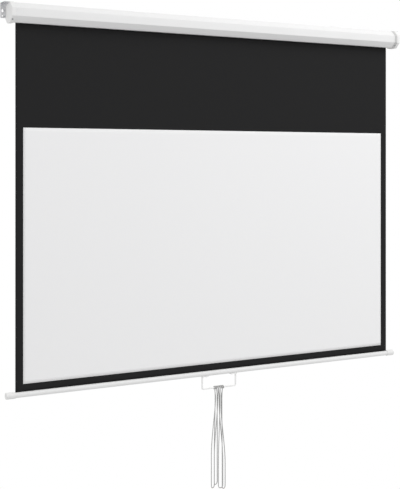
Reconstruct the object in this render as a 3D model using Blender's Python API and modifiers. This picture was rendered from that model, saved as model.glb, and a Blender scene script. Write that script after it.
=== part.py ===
"""A manual pull-down projection screen, drawn fully down.

Metres, +Z up. +X is to the right of someone who faces the screen, and the front faces -Y. The wall is the
plane Y = 0, and the origin lies on it, above the fabric's middle, at the height of the wall screws.
"""

import math

import bmesh
import bpy
from mathutils import Matrix, Vector

# Room left between pieces that touch or run in one another
GAP = 0.0003

# Edges that turn more than this stay sharp to the eye
SHARP_ANGLE = math.radians(40)

# Screen fabric: viewing area, borders and the black drop above it
VIEW_WIDTH = 1.800
VIEW_HEIGHT = 1.0125
SIDE_BORDER = 0.0325
BOTTOM_BORDER = 0.030
BLACK_DROP = 0.411
FABRIC_THICKNESS = 0.00045
WHITE_THICKNESS = 0.0002
WRAPS_LEFT_ON_ROLLER = 2

# Case: a regular octagon of sheet steel with a slot in its underside
CASE_ACROSS = 0.078
CASE_SHEET = 0.001
CASE_CORNER_RADIUS = 0.003
CASE_FROM_WALL = 0.004
SLOT_WIDTH = 0.015
SLOT_LIP = 0.005
SLOT_FROM_CORNER = 0.0005
KEYHOLE_ABOVE_CASE_BOTTOM = 0.055

# End caps: they sleeve over the case's ends
CAP_BESIDE_FABRIC = 0.016
CAP_COLLAR = 0.015
CAP_WALL = 0.0024
CAP_END_WALL = 0.003
CAP_BOSS_RADIUS = 0.0095
CAP_BOSS_LENGTH = 0.010
CAP_SCREW_FROM_COLLAR = 0.0085

# The right cap is longer: a recessed neck shows between the case and its rim
NECK_LENGTH = 0.0125
NECK_DEPTH = 0.0012

# Screws, all with a dished pan head
SCREW_RADIUS = 0.0015
SCREW_HEAD_RADIUS = 0.0032
SCREW_HEAD_HEIGHT = 0.0018
CAP_SCREW_LENGTH = 0.0065
BRACKET_SCREW_LENGTH = 0.012
BRACKET_SCREW_BOSS = 0.004

# Brackets: a wall flange, a ceiling flange and a gusseted side flange screwed to the cap
BRACKET_SHEET = 0.002
BRACKET_REACH = 0.0165
BRACKET_FOOT_ABOVE_CASE = 0.021
BRACKET_TOP_DEPTH = 0.052
BRACKET_TOP_CLEARANCE = 0.0005
BRACKET_LEG_DEPTH = 0.0135
BRACKET_GUSSET_HEIGHT = 0.014
BRACKET_SCREW_FROM_WALL = 0.0096
BRACKET_SCREW_SPREAD = 0.024
KEYHOLE_RADIUS = 0.0045
KEYHOLE_SLOT_WIDTH = 0.0048
KEYHOLE_SLOT_RISE = 0.007
KEYHOLE_FROM_EDGE = 0.0095
LOWER_HOLE_RADIUS = 0.003
LOWER_HOLE_DROP = 0.0255
CEILING_SLOT_RADIUS = 0.0025
CEILING_SLOT_LENGTH = 0.014

# Roller: its radius follows from the room that the full roll of fabric has in the case
ROLL_CLEARANCE = 0.0038
ROLLER_WALL = 0.0012
ROLLER_BEYOND_FABRIC = 0.0087
PLUG_LENGTH = 0.024
FLANGE_LIP = 0.0007
FLANGE_THICKNESS = 0.0035
IDLER_PIN_RADIUS = 0.003
IDLER_PIN_IN_PLUG = 0.0215
BUSH_WALL = 0.0025

# Spring motor: a still shaft inside the left end of the roller
SHAFT_RADIUS = 0.004
SHAFT_LENGTH = 0.366
SPADE_HEIGHT = 0.012
SPADE_THICKNESS = 0.003
SPRING_WIRE_RADIUS = 0.001
SPRING_CLEARANCE = 0.002
SPRING_LENGTH = 0.300
SPRING_TURNS = 28
POINTS_PER_SPRING_TURN = 9
HUB_LENGTH = 0.015
ANCHOR_THICKNESS = 0.015
CIRCLIP_RADIUS = 0.0065
CIRCLIP_THICKNESS = 0.001

# Lock: a notched disc on the shaft and a pawl on the roller's left flange
RATCHET_RADIUS = 0.0085
LOCK_THICKNESS = 0.0024
PAWL_CLEAR_OF_RATCHET = 0.0024
PAWL_OFFSET = 0.0085
PAWL_EYE_RADIUS = 0.0024
PAWL_LENGTH = 0.01074
PAWL_HALF_WIDTH = 0.0011
PAWL_SWING = math.radians(26)
PAWL_PIN_RADIUS = 0.001
PAWL_PIN_HEAD_RADIUS = 0.002
PAWL_PIN_HEAD_HEIGHT = 0.0012
PAWL_PIN_IN_FLANGE = 0.0027

# Bottom bar: a slotted tube with a cap on each end
BAR_RADIUS = 0.011
BAR_WALL = 0.0012
BAR_SLOT = 0.0025
BAR_BEYOND_FABRIC = 0.0395
BAR_CAP_LENGTH = 0.039
BAR_CAP_WALL = 0.00195
BAR_CAP_END = 0.003
BAR_CAP_ROUNDING = 0.003
HEM_RADIUS = 0.0034
HEM_ROD_RADIUS = 0.0025
HEM_ROD_SHORTER = 0.005
STOP_GAP = 0.002

# Grip loop under the bar
HANDLE_WIDTH = 0.176
HANDLE_DROP = 0.0585
HANDLE_ROD_RADIUS = 0.0035
HANDLE_BEND_RADIUS = 0.006
FOOT_LENGTH = 0.032
FOOT_DEPTH = 0.014
FOOT_THICKNESS = 0.003
FOOT_WRAP = 0.003
FOOT_SCREW_FROM_END = 0.008
HANDLE_SCREW_LENGTH = 0.008

# Pull cord: a hank of four bights that hangs over the grip loop's rail, its ends tied round the rail
CORD_RADIUS = 0.002
CORD_TO_RAIL = 0.0004
HANK_DROP = 0.448
FOLD_RADIUS = 0.012
PASS_RADIUS = 0.0085
GATHERED_AT = 0.045
SPREADS = ((0.0, 0.295), (0.02, 0.31), (0.06, 0.33), (0.08, 0.34))
WAIST_ROW = 0.0054
WAIST_FRONT = (-0.0185, -0.0085, 0.0015, 0.0115)
WAIST_REAR = (-0.016, -0.006, 0.004, 0.014)
FOLD_PLACES = (-0.0312, -0.0165, 0.0082, 0.0238)
FOLD_TURNS = (math.radians(27), math.radians(27), math.radians(6), math.radians(27))
FOLD_LIFTS = (0.011, 0.024, 0.005, 0.0)
TIE_PLACES = (-0.021, 0.017)
TIE_PITCH = 0.0045
TIE_TURNS = 2
STRAND_STEPS = 6
STRAND_STEP_GROWTH = 1.6
FOLD_STEPS = 6
PASS_STEPS = 6

# Places that follow from the sizes above
FABRIC_HALF = VIEW_WIDTH / 2 + SIDE_BORDER
CAP_INNER_X = FABRIC_HALF + CAP_BESIDE_FABRIC
CAP_OUTER_X = CAP_INNER_X + CAP_COLLAR
CAP_FACE_X = CAP_OUTER_X - CAP_END_WALL
CAP_ACROSS = CASE_ACROSS + 2 * (GAP + CAP_WALL)
CASE_BOTTOM_Z = -KEYHOLE_ABOVE_CASE_BOTTOM
CASE_Z = CASE_BOTTOM_Z + CASE_ACROSS / 2
CASE_Y = -CASE_FROM_WALL - CASE_ACROSS / 2
CASE_FLAT = CASE_ACROSS * (math.sqrt(2) - 1)
CAP_BOTTOM_Z = CASE_Z - CAP_ACROSS / 2
CAP_TOP_Z = CASE_Z + CAP_ACROSS / 2

# The slot ends just before the rear chamfer, and the fabric hangs through its middle
SLOT_Y = CASE_Y + CASE_FLAT / 2 - SLOT_FROM_CORNER - SLOT_WIDTH / 2
FABRIC_FRONT_Y = SLOT_Y - FABRIC_THICKNESS / 2

WHITE_TOP_Z = CASE_BOTTOM_Z - BLACK_DROP
WHITE_BOTTOM_Z = WHITE_TOP_Z - VIEW_HEIGHT
BAR_Z = WHITE_BOTTOM_Z - BOTTOM_BORDER - BAR_RADIUS
BAR_CAP_RADIUS = BAR_RADIUS + GAP + BAR_CAP_WALL
BAR_HALF = FABRIC_HALF + BAR_BEYOND_FABRIC
TRAVEL = CAP_BOTTOM_Z - STOP_GAP - BAR_CAP_RADIUS - BAR_Z

# The full roll, which has the same area of fabric edge as the travel, just clears the case's front
ROOM = FABRIC_FRONT_Y - GAP - ROLL_CLEARANCE - (CASE_Y - CASE_ACROSS / 2 + CASE_SHEET)
WOUND_RADIUS = (ROOM**2 - TRAVEL * FABRIC_THICKNESS / math.pi) / (2 * ROOM)
FULL_ROLL_RADIUS = ROOM - WOUND_RADIUS
ROLLER_TURNS = round(TRAVEL / (math.pi * (WOUND_RADIUS + FULL_ROLL_RADIUS)))
ROLLER_RADIUS = WOUND_RADIUS - WRAPS_LEFT_ON_ROLLER * FABRIC_THICKNESS - GAP
ROLLER_BORE = ROLLER_RADIUS - ROLLER_WALL
ROLLER_Y = FABRIC_FRONT_Y - GAP - WOUND_RADIUS
ROLLER_Z = CASE_Z
ROLLER_HALF = FABRIC_HALF + ROLLER_BEYOND_FABRIC
FLANGE_RADIUS = ROLLER_RADIUS + FLANGE_LIP
FLANGE_X = ROLLER_HALF + GAP
FLANGE_OUTER_X = FLANGE_X + FLANGE_THICKNESS
LOCK_X = FLANGE_OUTER_X + GAP
PAWL_PIVOT = (PAWL_OFFSET, -RATCHET_RADIUS - PAWL_CLEAR_OF_RATCHET - PAWL_HALF_WIDTH)
PAWL_LOCKED_ANGLE = math.pi - PAWL_SWING
SPRING_RADIUS = ROLLER_BORE - SPRING_CLEARANCE - SPRING_WIRE_RADIUS
# The wire's straight pieces pass nearer to the axis than its points
HUB_RADIUS = SPRING_RADIUS * math.cos(math.pi / POINTS_PER_SPRING_TURN) - SPRING_WIRE_RADIUS - GAP
SPRING_START_X = ROLLER_HALF - PLUG_LENGTH - SPRING_WIRE_RADIUS - GAP
ANCHOR_X = SPRING_START_X - SPRING_LENGTH - SPRING_WIRE_RADIUS - GAP
SHAFT_START_X = CAP_FACE_X - CAP_BOSS_LENGTH

RAIL_Z = BAR_Z - BAR_RADIUS - HANDLE_DROP + HANDLE_ROD_RADIUS
BAR_Y = SLOT_Y

LEFT, RIGHT = -1, 1
SIDE_NAMES = {LEFT: "left", RIGHT: "right"}


def clear_scene():
    """Removes every object of the open scene."""
    for obj in list(bpy.data.objects):
        bpy.data.objects.remove(obj, do_unlink=True)


def new_collection(name, hidden=False):
    collection = bpy.data.collections.new(name)
    collection.hide_render = hidden
    bpy.context.scene.collection.children.link(collection)
    return collection


def new_material(name, colour, roughness, metallic=0.0):
    material = bpy.data.materials.new(name)
    material.use_nodes = True
    shader = material.node_tree.nodes["Principled BSDF"]
    shader.inputs["Base Color"].default_value = (*colour, 1.0)
    shader.inputs["Roughness"].default_value = roughness
    shader.inputs["Metallic"].default_value = metallic
    material.diffuse_color = (*colour, 1.0)
    return material


clear_scene()
SCREEN = new_collection("projection_screen")
TOOLS = new_collection("cutters", hidden=True)

WHITE_PAINT = new_material("white_paint", (0.83, 0.83, 0.84), 0.4)
WHITE_PLASTIC = new_material("white_plastic", (0.80, 0.80, 0.80), 0.45)
ZINC = new_material("zinc", (0.55, 0.56, 0.58), 0.35, 1.0)
STEEL = new_material("steel", (0.42, 0.43, 0.45), 0.3, 1.0)
NYLON = new_material("nylon", (0.70, 0.69, 0.64), 0.5)
BLACK_FABRIC = new_material("black_fabric", (0.02, 0.02, 0.022), 0.9)
MATTE_WHITE = new_material("matte_white", (0.86, 0.86, 0.87), 0.95)
CORD_WHITE = new_material("cord_white", (0.55, 0.55, 0.545), 0.85)

# Turns that carry a local outline and its thickness direction onto the world's axes
ALONG = {
    "X": Matrix(((0, 0, 1, 0), (1, 0, 0, 0), (0, 1, 0, 0), (0, 0, 0, 1))),
    "Y": Matrix(((0, 1, 0, 0), (0, 0, 1, 0), (1, 0, 0, 0), (0, 0, 0, 1))),
    "Z": Matrix.Identity(4),
}


def add(name, data, material, matrix, parent=None):
    """Links an object: into the screen's collection, or with no material as a cutter."""
    obj = bpy.data.objects.new(name, data)
    (SCREEN if material else TOOLS).objects.link(obj)
    if material:
        data.materials.append(material)
    else:
        obj.hide_render = True
        obj.display_type = "WIRE"
    if parent:
        obj.parent = parent
        matrix = parent.matrix_world.inverted() @ matrix
    obj.matrix_local = matrix
    return obj


def add_group(name, place):
    """An empty that carries the pieces of one moving body."""
    group = bpy.data.objects.new(name, None)
    group.empty_display_size = 0.05
    SCREEN.objects.link(group)
    group.location = place
    bpy.context.view_layer.update()
    return group


def realise(obj):
    """Replaces a curve, or a mesh with its modifiers, by a welded mesh in the same place, shaded smooth."""
    bpy.context.view_layer.update()
    graph = bpy.context.evaluated_depsgraph_get()
    mesh = bpy.data.meshes.new_from_object(obj.evaluated_get(graph))
    welded = bmesh.new()
    welded.from_mesh(mesh)
    bmesh.ops.remove_doubles(welded, verts=welded.verts, dist=1e-6)
    bmesh.ops.recalc_face_normals(welded, faces=welded.faces)
    welded.to_mesh(mesh)
    welded.free()
    mesh.shade_smooth()
    mesh.set_sharp_from_angle(angle=SHARP_ANGLE)
    name, place = obj.name, obj.matrix_world.copy()
    solid = bpy.data.objects.new(name, mesh)
    obj.users_collection[0].objects.link(solid)
    solid.parent = obj.parent
    solid.matrix_world = place
    solid.hide_render = obj.hide_render
    solid.display_type = obj.display_type
    bpy.data.objects.remove(obj, do_unlink=True)
    solid.name = name
    return solid


def prism(name, outline, axis, low, high, material=None, parent=None):
    """A flat outline made solid between two heights along one axis.

    The outline's two coordinates are (Y, Z) for axis X, (Z, X) for axis Y and (X, Y) for axis Z.
    """
    curve = bpy.data.curves.new(name, "CURVE")
    curve.dimensions = "2D"
    curve.fill_mode = "BOTH"
    curve.extrude = (high - low) / 2
    spline = curve.splines.new("POLY")
    spline.points.add(len(outline) - 1)
    for point, (first, second) in zip(spline.points, outline):
        point.co = (first, second, 0, 1)
    spline.use_cyclic_u = True
    middle = Matrix.Translation(ALONG[axis] @ Vector((0, 0, (low + high) / 2)))
    return realise(add(name, curve, material, middle @ ALONG[axis], parent))


def box(name, low, high, material=None, parent=None):
    """A block between two corners."""
    mesh = bpy.data.meshes.new(name)
    block = bmesh.new()
    bmesh.ops.create_cube(block, size=1)
    sides = Vector(high) - Vector(low)
    bmesh.ops.scale(block, vec=sides, verts=block.verts)
    block.to_mesh(mesh)
    block.free()
    middle = (Vector(high) + Vector(low)) / 2
    return add(name, mesh, material, Matrix.Translation(middle), parent)


def turned(name, profile, place, direction, material=None, parent=None, steps=24):
    """A turned shape: (radius, height) points run down its outer side, and height runs along direction.

    A profile that starts off the axis is a ring's, and closes on itself.
    """
    mesh = bpy.data.meshes.new(name)
    points = [(radius, 0, height) for radius, height in profile]
    edges = [(i, i + 1) for i in range(len(points) - 1)]
    if profile[0][0] > 0:
        edges.append((len(points) - 1, 0))
    mesh.from_pydata(points, edges, [])
    turn = Vector(direction).to_track_quat("Z", "Y").to_matrix().to_4x4()
    obj = add(name, mesh, material, Matrix.Translation(place) @ turn, parent)
    screw = obj.modifiers.new("Turn", "SCREW")
    screw.steps = screw.render_steps = steps
    screw.use_merge_vertices = True
    screw.merge_threshold = 1e-6
    return realise(obj)


def cylinder(name, radius, start, end, material=None, parent=None, steps=24):
    """A plain round rod between two points."""
    axis = Vector(end) - Vector(start)
    profile = [(0, axis.length), (radius, axis.length), (radius, 0), (0, 0)]
    return turned(name, profile, start, axis.normalized(), material, parent, steps)


def tube_along(name, points, radius, material, parent=None, bevel_resolution=1):
    """A round tube whose centre runs through the points."""
    curve = bpy.data.curves.new(name, "CURVE")
    curve.dimensions = "3D"
    curve.bevel_depth = radius
    curve.bevel_resolution = bevel_resolution
    curve.use_fill_caps = True
    spline = curve.splines.new("POLY")
    spline.points.add(len(points) - 1)
    for target, point in zip(spline.points, points):
        target.co = (*point, 1)
    return add(name, curve, material, Matrix.Identity(4), parent)


def cut(obj, *cutters):
    for cutter in cutters:
        modifier = obj.modifiers.new("Cut", "BOOLEAN")
        modifier.operation = "DIFFERENCE"
        modifier.object = cutter


def join(obj, *others):
    for other in others:
        modifier = obj.modifiers.new("Join", "BOOLEAN")
        modifier.operation = "UNION"
        modifier.object = other


def arc(centre, radius, start, end, steps):
    """Points on a circle, both ends included; angles in radians."""
    return [
        (
            centre[0] + radius * math.cos(start + (end - start) * i / steps),
            centre[1] + radius * math.sin(start + (end - start) * i / steps),
        )
        for i in range(steps + 1)
    ]


def rounded(corners, radius, steps=3, closed=False):
    """The corners with each turn replaced by an arc; the two ends of an open path stay."""
    points = []
    count = len(corners)
    for i, corner in enumerate(corners):
        if not closed and i in (0, count - 1):
            points.append(corner)
            continue
        here = Vector(corner)
        before = (Vector(corners[i - 1]) - here).normalized()
        after = (Vector(corners[(i + 1) % count]) - here).normalized()
        half = before.angle(after) / 2
        centre = here + (before + after).normalized() * radius / math.sin(half)
        first = here + before * radius / math.tan(half) - centre
        last = here + after * radius / math.tan(half) - centre
        turn = first.angle_signed(last)
        start = math.atan2(first.y, first.x)
        points += arc(centre, radius, start, start - turn, steps)
    return points


def beside(path, distance, closed=False):
    """The path moved to its right by a distance, with mitred corners."""
    moved = []
    count = len(path)
    for i, point in enumerate(path):
        here = Vector(point)
        arriving = here - Vector(path[i - 1]) if closed or i > 0 else None
        leaving = Vector(path[(i + 1) % count]) - here if closed or i < count - 1 else None
        sides = [Vector((d.y, -d.x)).normalized() for d in (arriving, leaving) if d is not None]
        normal = sum(sides, Vector((0, 0))).normalized()
        moved.append(tuple(here + normal * distance / normal.dot(sides[0])))
    return moved


def octagon(across, centre):
    """Corners of an octagon with a flat underside, clockwise from the bottom flat's front end."""
    reach = across / 2 / math.cos(math.radians(22.5))
    angles = [math.radians(-112.5 - 45 * i) for i in range(8)]
    return [(centre[0] + reach * math.cos(a), centre[1] + reach * math.sin(a)) for a in angles]


def pan_screw(name, place, direction, length, material, parent=None):
    """A screw whose head sits on the place, outside, and whose shank runs against the direction."""
    dish = 0.45
    profile = [
        (0, SCREW_HEAD_HEIGHT * (1 - dish)),
        (SCREW_HEAD_RADIUS * 0.35, SCREW_HEAD_HEIGHT),
        (SCREW_HEAD_RADIUS * 0.75, SCREW_HEAD_HEIGHT),
        (SCREW_HEAD_RADIUS, SCREW_HEAD_HEIGHT * dish),
        (SCREW_HEAD_RADIUS, 0),
        (SCREW_RADIUS, 0),
        (SCREW_RADIUS, -length + SCREW_RADIUS),
        (0, -length),
    ]
    seat = Vector(place) + Vector(direction) * GAP
    return turned(name, profile, seat, direction, material, parent, steps=12)


def screw_hole(name, place, direction, length):
    """A cutter for a screw's hole, from just outside its seat."""
    outside = Vector(place) + Vector(direction) * 0.002
    inside = Vector(place) - Vector(direction) * length
    return cylinder(name, SCREW_RADIUS + GAP, inside, outside, steps=12)


def cap_outer(side):
    """How far out a cap's outer face lies."""
    return CAP_OUTER_X + (NECK_LENGTH if side == RIGHT else 0)


def cap_face(side):
    """How far out the inner face of a cap's end wall lies."""
    return cap_outer(side) - CAP_END_WALL


def chamfer_screws(side):
    """(name, seat, outward direction) of the two screws through a cap's lower chamfers."""
    if side == LEFT:
        x, reach = -(CAP_INNER_X + CAP_SCREW_FROM_COLLAR), CAP_ACROSS / 2
    else:
        x, reach = CAP_INNER_X + NECK_LENGTH / 2, CAP_ACROSS / 2 - NECK_DEPTH
    found = []
    for where, slope in (("front", -1), ("rear", 1)):
        outward = Vector((0, slope, -1)).normalized()
        seat = Vector((x, CASE_Y, CASE_Z)) + outward * reach
        found.append((f"cap_screw_{SIDE_NAMES[side]}_{where}", seat, outward))
    return found


def bracket_screws(side):
    """(name, seat, outward direction) of the two screws through a bracket's side flange."""
    x = side * (cap_outer(side) + GAP + BRACKET_SHEET)
    found = []
    for number, up in ((1, 0.5), (2, -0.5)):
        name = f"bracket_screw_{SIDE_NAMES[side]}_{number}"
        seat = Vector((x, -BRACKET_SCREW_FROM_WALL, CASE_Z + up * BRACKET_SCREW_SPREAD))
        found.append((name, seat, Vector((side, 0, 0))))
    return found


def make_case():
    """The rolled steel case: one wall that runs from the slot's front lip round to its rear lip."""
    front, rear = SLOT_Y - SLOT_WIDTH / 2, SLOT_Y + SLOT_WIDTH / 2
    bottom = CASE_BOTTOM_Z
    corners = rounded(octagon(CASE_ACROSS, (CASE_Y, CASE_Z)), CASE_CORNER_RADIUS, closed=True)
    # The last rounded corner would run past the slot's rear edge, so the wall turns up from its chamfer
    kept = [point for point in corners if point[0] < rear - CASE_SHEET or point[1] > bottom + SLOT_LIP]
    path = [(front, bottom + SLOT_LIP), (front, bottom), *kept]
    path += [(rear, bottom + GAP), (rear, bottom + SLOT_LIP)]
    outline = path + beside(path, CASE_SHEET)[::-1]
    half = CAP_FACE_X - GAP
    case = prism("case_body", outline, "X", -half, half, WHITE_PAINT)
    for side in (LEFT, RIGHT):
        for name, seat, outward in chamfer_screws(side):
            cut(case, screw_hole(f"case_hole_{name}", seat, outward, CAP_SCREW_LENGTH))
    return case


def make_end_cap(side):
    """A plastic cup over the case's end, with a boss for the roller's bearing and two for the bracket."""
    name = f"end_cap_{SIDE_NAMES[side]}"
    centre = (CASE_Y, CASE_Z)
    rim_x = CAP_INNER_X if side == LEFT else CAP_INNER_X + NECK_LENGTH
    low, high = sorted((side * rim_x, side * cap_outer(side)))
    outer = rounded(octagon(CAP_ACROSS, centre), CASE_CORNER_RADIUS + GAP + CAP_WALL, closed=True)
    cap = prism(name, outer, "X", low, high, WHITE_PLASTIC)
    if side == RIGHT:
        recessed = beside(outer, NECK_DEPTH, closed=True)
        join(cap, prism("neck", recessed, "X", CAP_INNER_X, rim_x + CAP_COLLAR / 2))
    low, high = sorted((side * (CAP_INNER_X - 0.001), side * cap_face(side)))
    cavity = prism(f"{name}_cavity", beside(outer, CAP_WALL, closed=True), "X", low, high)
    cut(cap, cavity)
    inside = side * (CAP_FACE_X - CAP_BOSS_LENGTH)
    wall = side * (cap_outer(side) - CAP_END_WALL / 2)
    boss = cylinder(
        f"{name}_boss", CAP_BOSS_RADIUS, (inside, ROLLER_Y, ROLLER_Z), (wall, ROLLER_Y, ROLLER_Z)
    )
    join(cap, boss)
    for screw, seat, outward in bracket_screws(side):
        start = (side * (cap_face(side) - BRACKET_SCREW_LENGTH / 2), seat.y, seat.z)
        join(cap, cylinder(f"{screw}_boss", BRACKET_SCREW_BOSS, start, (wall, seat.y, seat.z)))
        cut(cap, screw_hole(f"{screw}_hole", seat, outward, BRACKET_SCREW_LENGTH + SCREW_RADIUS))
    for screw, seat, outward in chamfer_screws(side):
        cut(cap, screw_hole(f"cap_hole_{screw}", seat, outward, CAP_WALL + GAP))
    if side == LEFT:
        half_y, half_z = SPADE_THICKNESS / 2 + GAP, SPADE_HEIGHT / 2 + GAP
        low = (-CAP_FACE_X, ROLLER_Y - half_y, ROLLER_Z - half_z)
        high = (-SHAFT_START_X + 0.001, ROLLER_Y + half_y, ROLLER_Z + half_z)
        cut(cap, box("spade_slot", low, high))
    else:
        radius = IDLER_PIN_RADIUS + GAP + BUSH_WALL + GAP
        start = (SHAFT_START_X - 0.001, ROLLER_Y, ROLLER_Z)
        cut(cap, cylinder("bush_seat", radius, start, (CAP_FACE_X, ROLLER_Y, ROLLER_Z)))
    return cap


def make_cap_screws(side):
    for name, seat, outward in chamfer_screws(side):
        pan_screw(name, seat, outward, CAP_SCREW_LENGTH, ZINC)


def keyhole(x):
    """Outline, as (Z, X), of a keyhole: a round for the screw's head, and a slot up to the height 0."""
    half = KEYHOLE_SLOT_WIDTH / 2
    meet = math.asin(half / KEYHOLE_RADIUS)
    points = arc((-KEYHOLE_SLOT_RISE, x), KEYHOLE_RADIUS, meet, 2 * math.pi - meet, 16)
    points += arc((0, x), half, -math.pi / 2, math.pi / 2, 8)
    return points


def make_bracket(side):
    """A folded steel bracket: wall flange, ceiling flange, and the side flange that holds the cap."""
    name = f"bracket_{SIDE_NAMES[side]}"
    top = CAP_TOP_Z + BRACKET_TOP_CLEARANCE
    inner = cap_outer(side) + GAP
    outer = inner + BRACKET_SHEET + BRACKET_REACH
    foot = CASE_BOTTOM_Z + BRACKET_FOOT_ABOVE_CASE
    outline = [
        (-BRACKET_TOP_DEPTH, top),
        (0, top),
        (0, foot),
        (-BRACKET_LEG_DEPTH, foot),
        (-BRACKET_LEG_DEPTH, top - BRACKET_GUSSET_HEIGHT),
        (-BRACKET_TOP_DEPTH, top - 2 * BRACKET_SHEET),
    ]
    low_x, high_x = sorted((side * inner, side * (inner + BRACKET_SHEET)))
    bracket = prism(name, outline, "X", low_x, high_x, ZINC)
    low_x, high_x = sorted((side * inner, side * outer))
    join(
        bracket,
        box(f"{name}_wall_flange", (low_x, -BRACKET_SHEET, foot), (high_x, 0, top)),
        box(f"{name}_ceiling_flange", (low_x, -BRACKET_TOP_DEPTH, top - BRACKET_SHEET), (high_x, 0, top)),
    )
    hole_x = side * (inner + KEYHOLE_FROM_EDGE)
    cut(bracket, prism(f"{name}_keyhole", keyhole(hole_x), "Y", -0.004, 0.002))
    start, end = (hole_x, -0.004, -LOWER_HOLE_DROP), (hole_x, 0.002, -LOWER_HOLE_DROP)
    cut(bracket, cylinder(f"{name}_lower_hole", LOWER_HOLE_RADIUS, start, end, steps=12))
    middle = -BRACKET_TOP_DEPTH / 2
    straight = CEILING_SLOT_LENGTH / 2 - CEILING_SLOT_RADIUS
    slot = arc((hole_x, middle + straight), CEILING_SLOT_RADIUS, 0, math.pi, 8)
    slot += arc((hole_x, middle - straight), CEILING_SLOT_RADIUS, math.pi, 2 * math.pi, 8)
    cut(bracket, prism(f"{name}_ceiling_slot", slot, "Z", top - 0.004, top + 0.002))
    for screw, seat, outward in bracket_screws(side):
        cut(bracket, screw_hole(f"{screw}_clearance", seat, outward, BRACKET_SHEET + 0.002))
    return bracket


def make_bracket_screws(side):
    for name, seat, outward in bracket_screws(side):
        pan_screw(name, seat, outward, BRACKET_SCREW_LENGTH, ZINC)


def along_roller(x):
    """A point on the roller's axis."""
    return Vector((x, ROLLER_Y, ROLLER_Z))


def make_spring_shaft():
    """The still shaft, with a flat spade in the left cap's slot."""
    start = -SHAFT_START_X
    end = along_roller(start + SHAFT_LENGTH)
    shaft = cylinder("spring_shaft", SHAFT_RADIUS, along_roller(start), end, STEEL, steps=16)
    low = (-CAP_FACE_X + GAP, ROLLER_Y - SPADE_THICKNESS / 2, ROLLER_Z - SPADE_HEIGHT / 2)
    high = (start + 0.001, ROLLER_Y + SPADE_THICKNESS / 2, ROLLER_Z + SPADE_HEIGHT / 2)
    join(shaft, box("spade", low, high))
    return shaft


def notch():
    """Outline of the ratchet's notch: all that the pawl sweeps, with a stop just past its tip."""
    along = Vector((math.cos(PAWL_LOCKED_ANGLE), math.sin(PAWL_LOCKED_ANGLE)))
    inward = Vector((along.y, -along.x))
    depth = PAWL_HALF_WIDTH + GAP
    reach = PAWL_LENGTH + GAP
    pivot = Vector(PAWL_PIVOT)
    edge = math.asin(depth / reach)
    points = [tuple(pivot + inward * depth)]
    points += arc(PAWL_PIVOT, reach, PAWL_LOCKED_ANGLE - edge, PAWL_LOCKED_ANGLE + 2 * PAWL_SWING, 8)
    return [(ROLLER_Y + y, ROLLER_Z + z) for y, z in points + [tuple(pivot)]]


def make_ratchet_disc():
    """The notched disc that stays still on the shaft."""
    bore = SHAFT_RADIUS + GAP
    profile = [(RATCHET_RADIUS, LOCK_THICKNESS), (RATCHET_RADIUS, 0), (bore, 0), (bore, LOCK_THICKNESS)]
    disc = turned("ratchet_disc", profile, along_roller(-LOCK_X), (-1, 0, 0), STEEL, steps=32)
    low, high = -LOCK_X - LOCK_THICKNESS - 0.001, -LOCK_X + 0.001
    cut(disc, prism("ratchet_notch", notch(), "X", low, high))
    return disc


def make_spring_anchor():
    """The still hub near the shaft's inner end: it holds the spring and steadies the tube."""
    bore = SHAFT_RADIUS + GAP
    profile = [
        (HUB_RADIUS, HUB_LENGTH),
        (HUB_RADIUS, 0),
        (ROLLER_BORE - GAP, 0),
        (ROLLER_BORE - GAP, -ANCHOR_THICKNESS),
        (bore, -ANCHOR_THICKNESS),
        (bore, HUB_LENGTH),
    ]
    return turned("spring_anchor", profile, along_roller(-ANCHOR_X), (-1, 0, 0), NYLON)


def make_circlip():
    """The ring that keeps the anchor on the shaft."""
    bore = SHAFT_RADIUS + GAP
    profile = [
        (CIRCLIP_RADIUS, 0),
        (CIRCLIP_RADIUS, -CIRCLIP_THICKNESS),
        (bore, -CIRCLIP_THICKNESS),
        (bore, 0),
    ]
    place = along_roller(-ANCHOR_X + ANCHOR_THICKNESS + GAP)
    return turned("shaft_circlip", profile, place, (-1, 0, 0), STEEL, steps=16)


def make_torsion_spring():
    """The motor spring, a helix between the plug's hub and the anchor's."""
    count = SPRING_TURNS * POINTS_PER_SPRING_TURN
    points = []
    for i in range(count + 1):
        angle = 2 * math.pi * i / POINTS_PER_SPRING_TURN
        x = -SPRING_START_X + SPRING_LENGTH * i / count
        points.append(
            along_roller(x) + SPRING_RADIUS * Vector((0, math.cos(angle), math.sin(angle)))
        )
    return tube_along("torsion_spring", points, SPRING_WIRE_RADIUS, STEEL)


def make_idler_bush():
    """The nylon bush in the right cap, in which the idler pin turns."""
    inner = IDLER_PIN_RADIUS + GAP
    length = CAP_BOSS_LENGTH - GAP
    profile = [(inner + BUSH_WALL, length), (inner + BUSH_WALL, 0), (inner, 0), (inner, length)]
    return turned("idler_bush", profile, along_roller(SHAFT_START_X), (1, 0, 0), NYLON, steps=20)


def make_roller(roller):
    """The tube, and the turns of fabric that stay on it."""
    tube = [
        (ROLLER_RADIUS, ROLLER_HALF),
        (ROLLER_RADIUS, -ROLLER_HALF),
        (ROLLER_BORE, -ROLLER_HALF),
        (ROLLER_BORE, ROLLER_HALF),
    ]
    turned("roller_tube", tube, along_roller(0), (1, 0, 0), ZINC, roller, steps=32)
    inner = ROLLER_RADIUS + GAP
    wound = [
        (WOUND_RADIUS, FABRIC_HALF),
        (WOUND_RADIUS, -FABRIC_HALF),
        (inner, -FABRIC_HALF),
        (inner, FABRIC_HALF),
    ]
    turned("wound_fabric", wound, along_roller(0), (1, 0, 0), BLACK_FABRIC, roller, steps=32)


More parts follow.
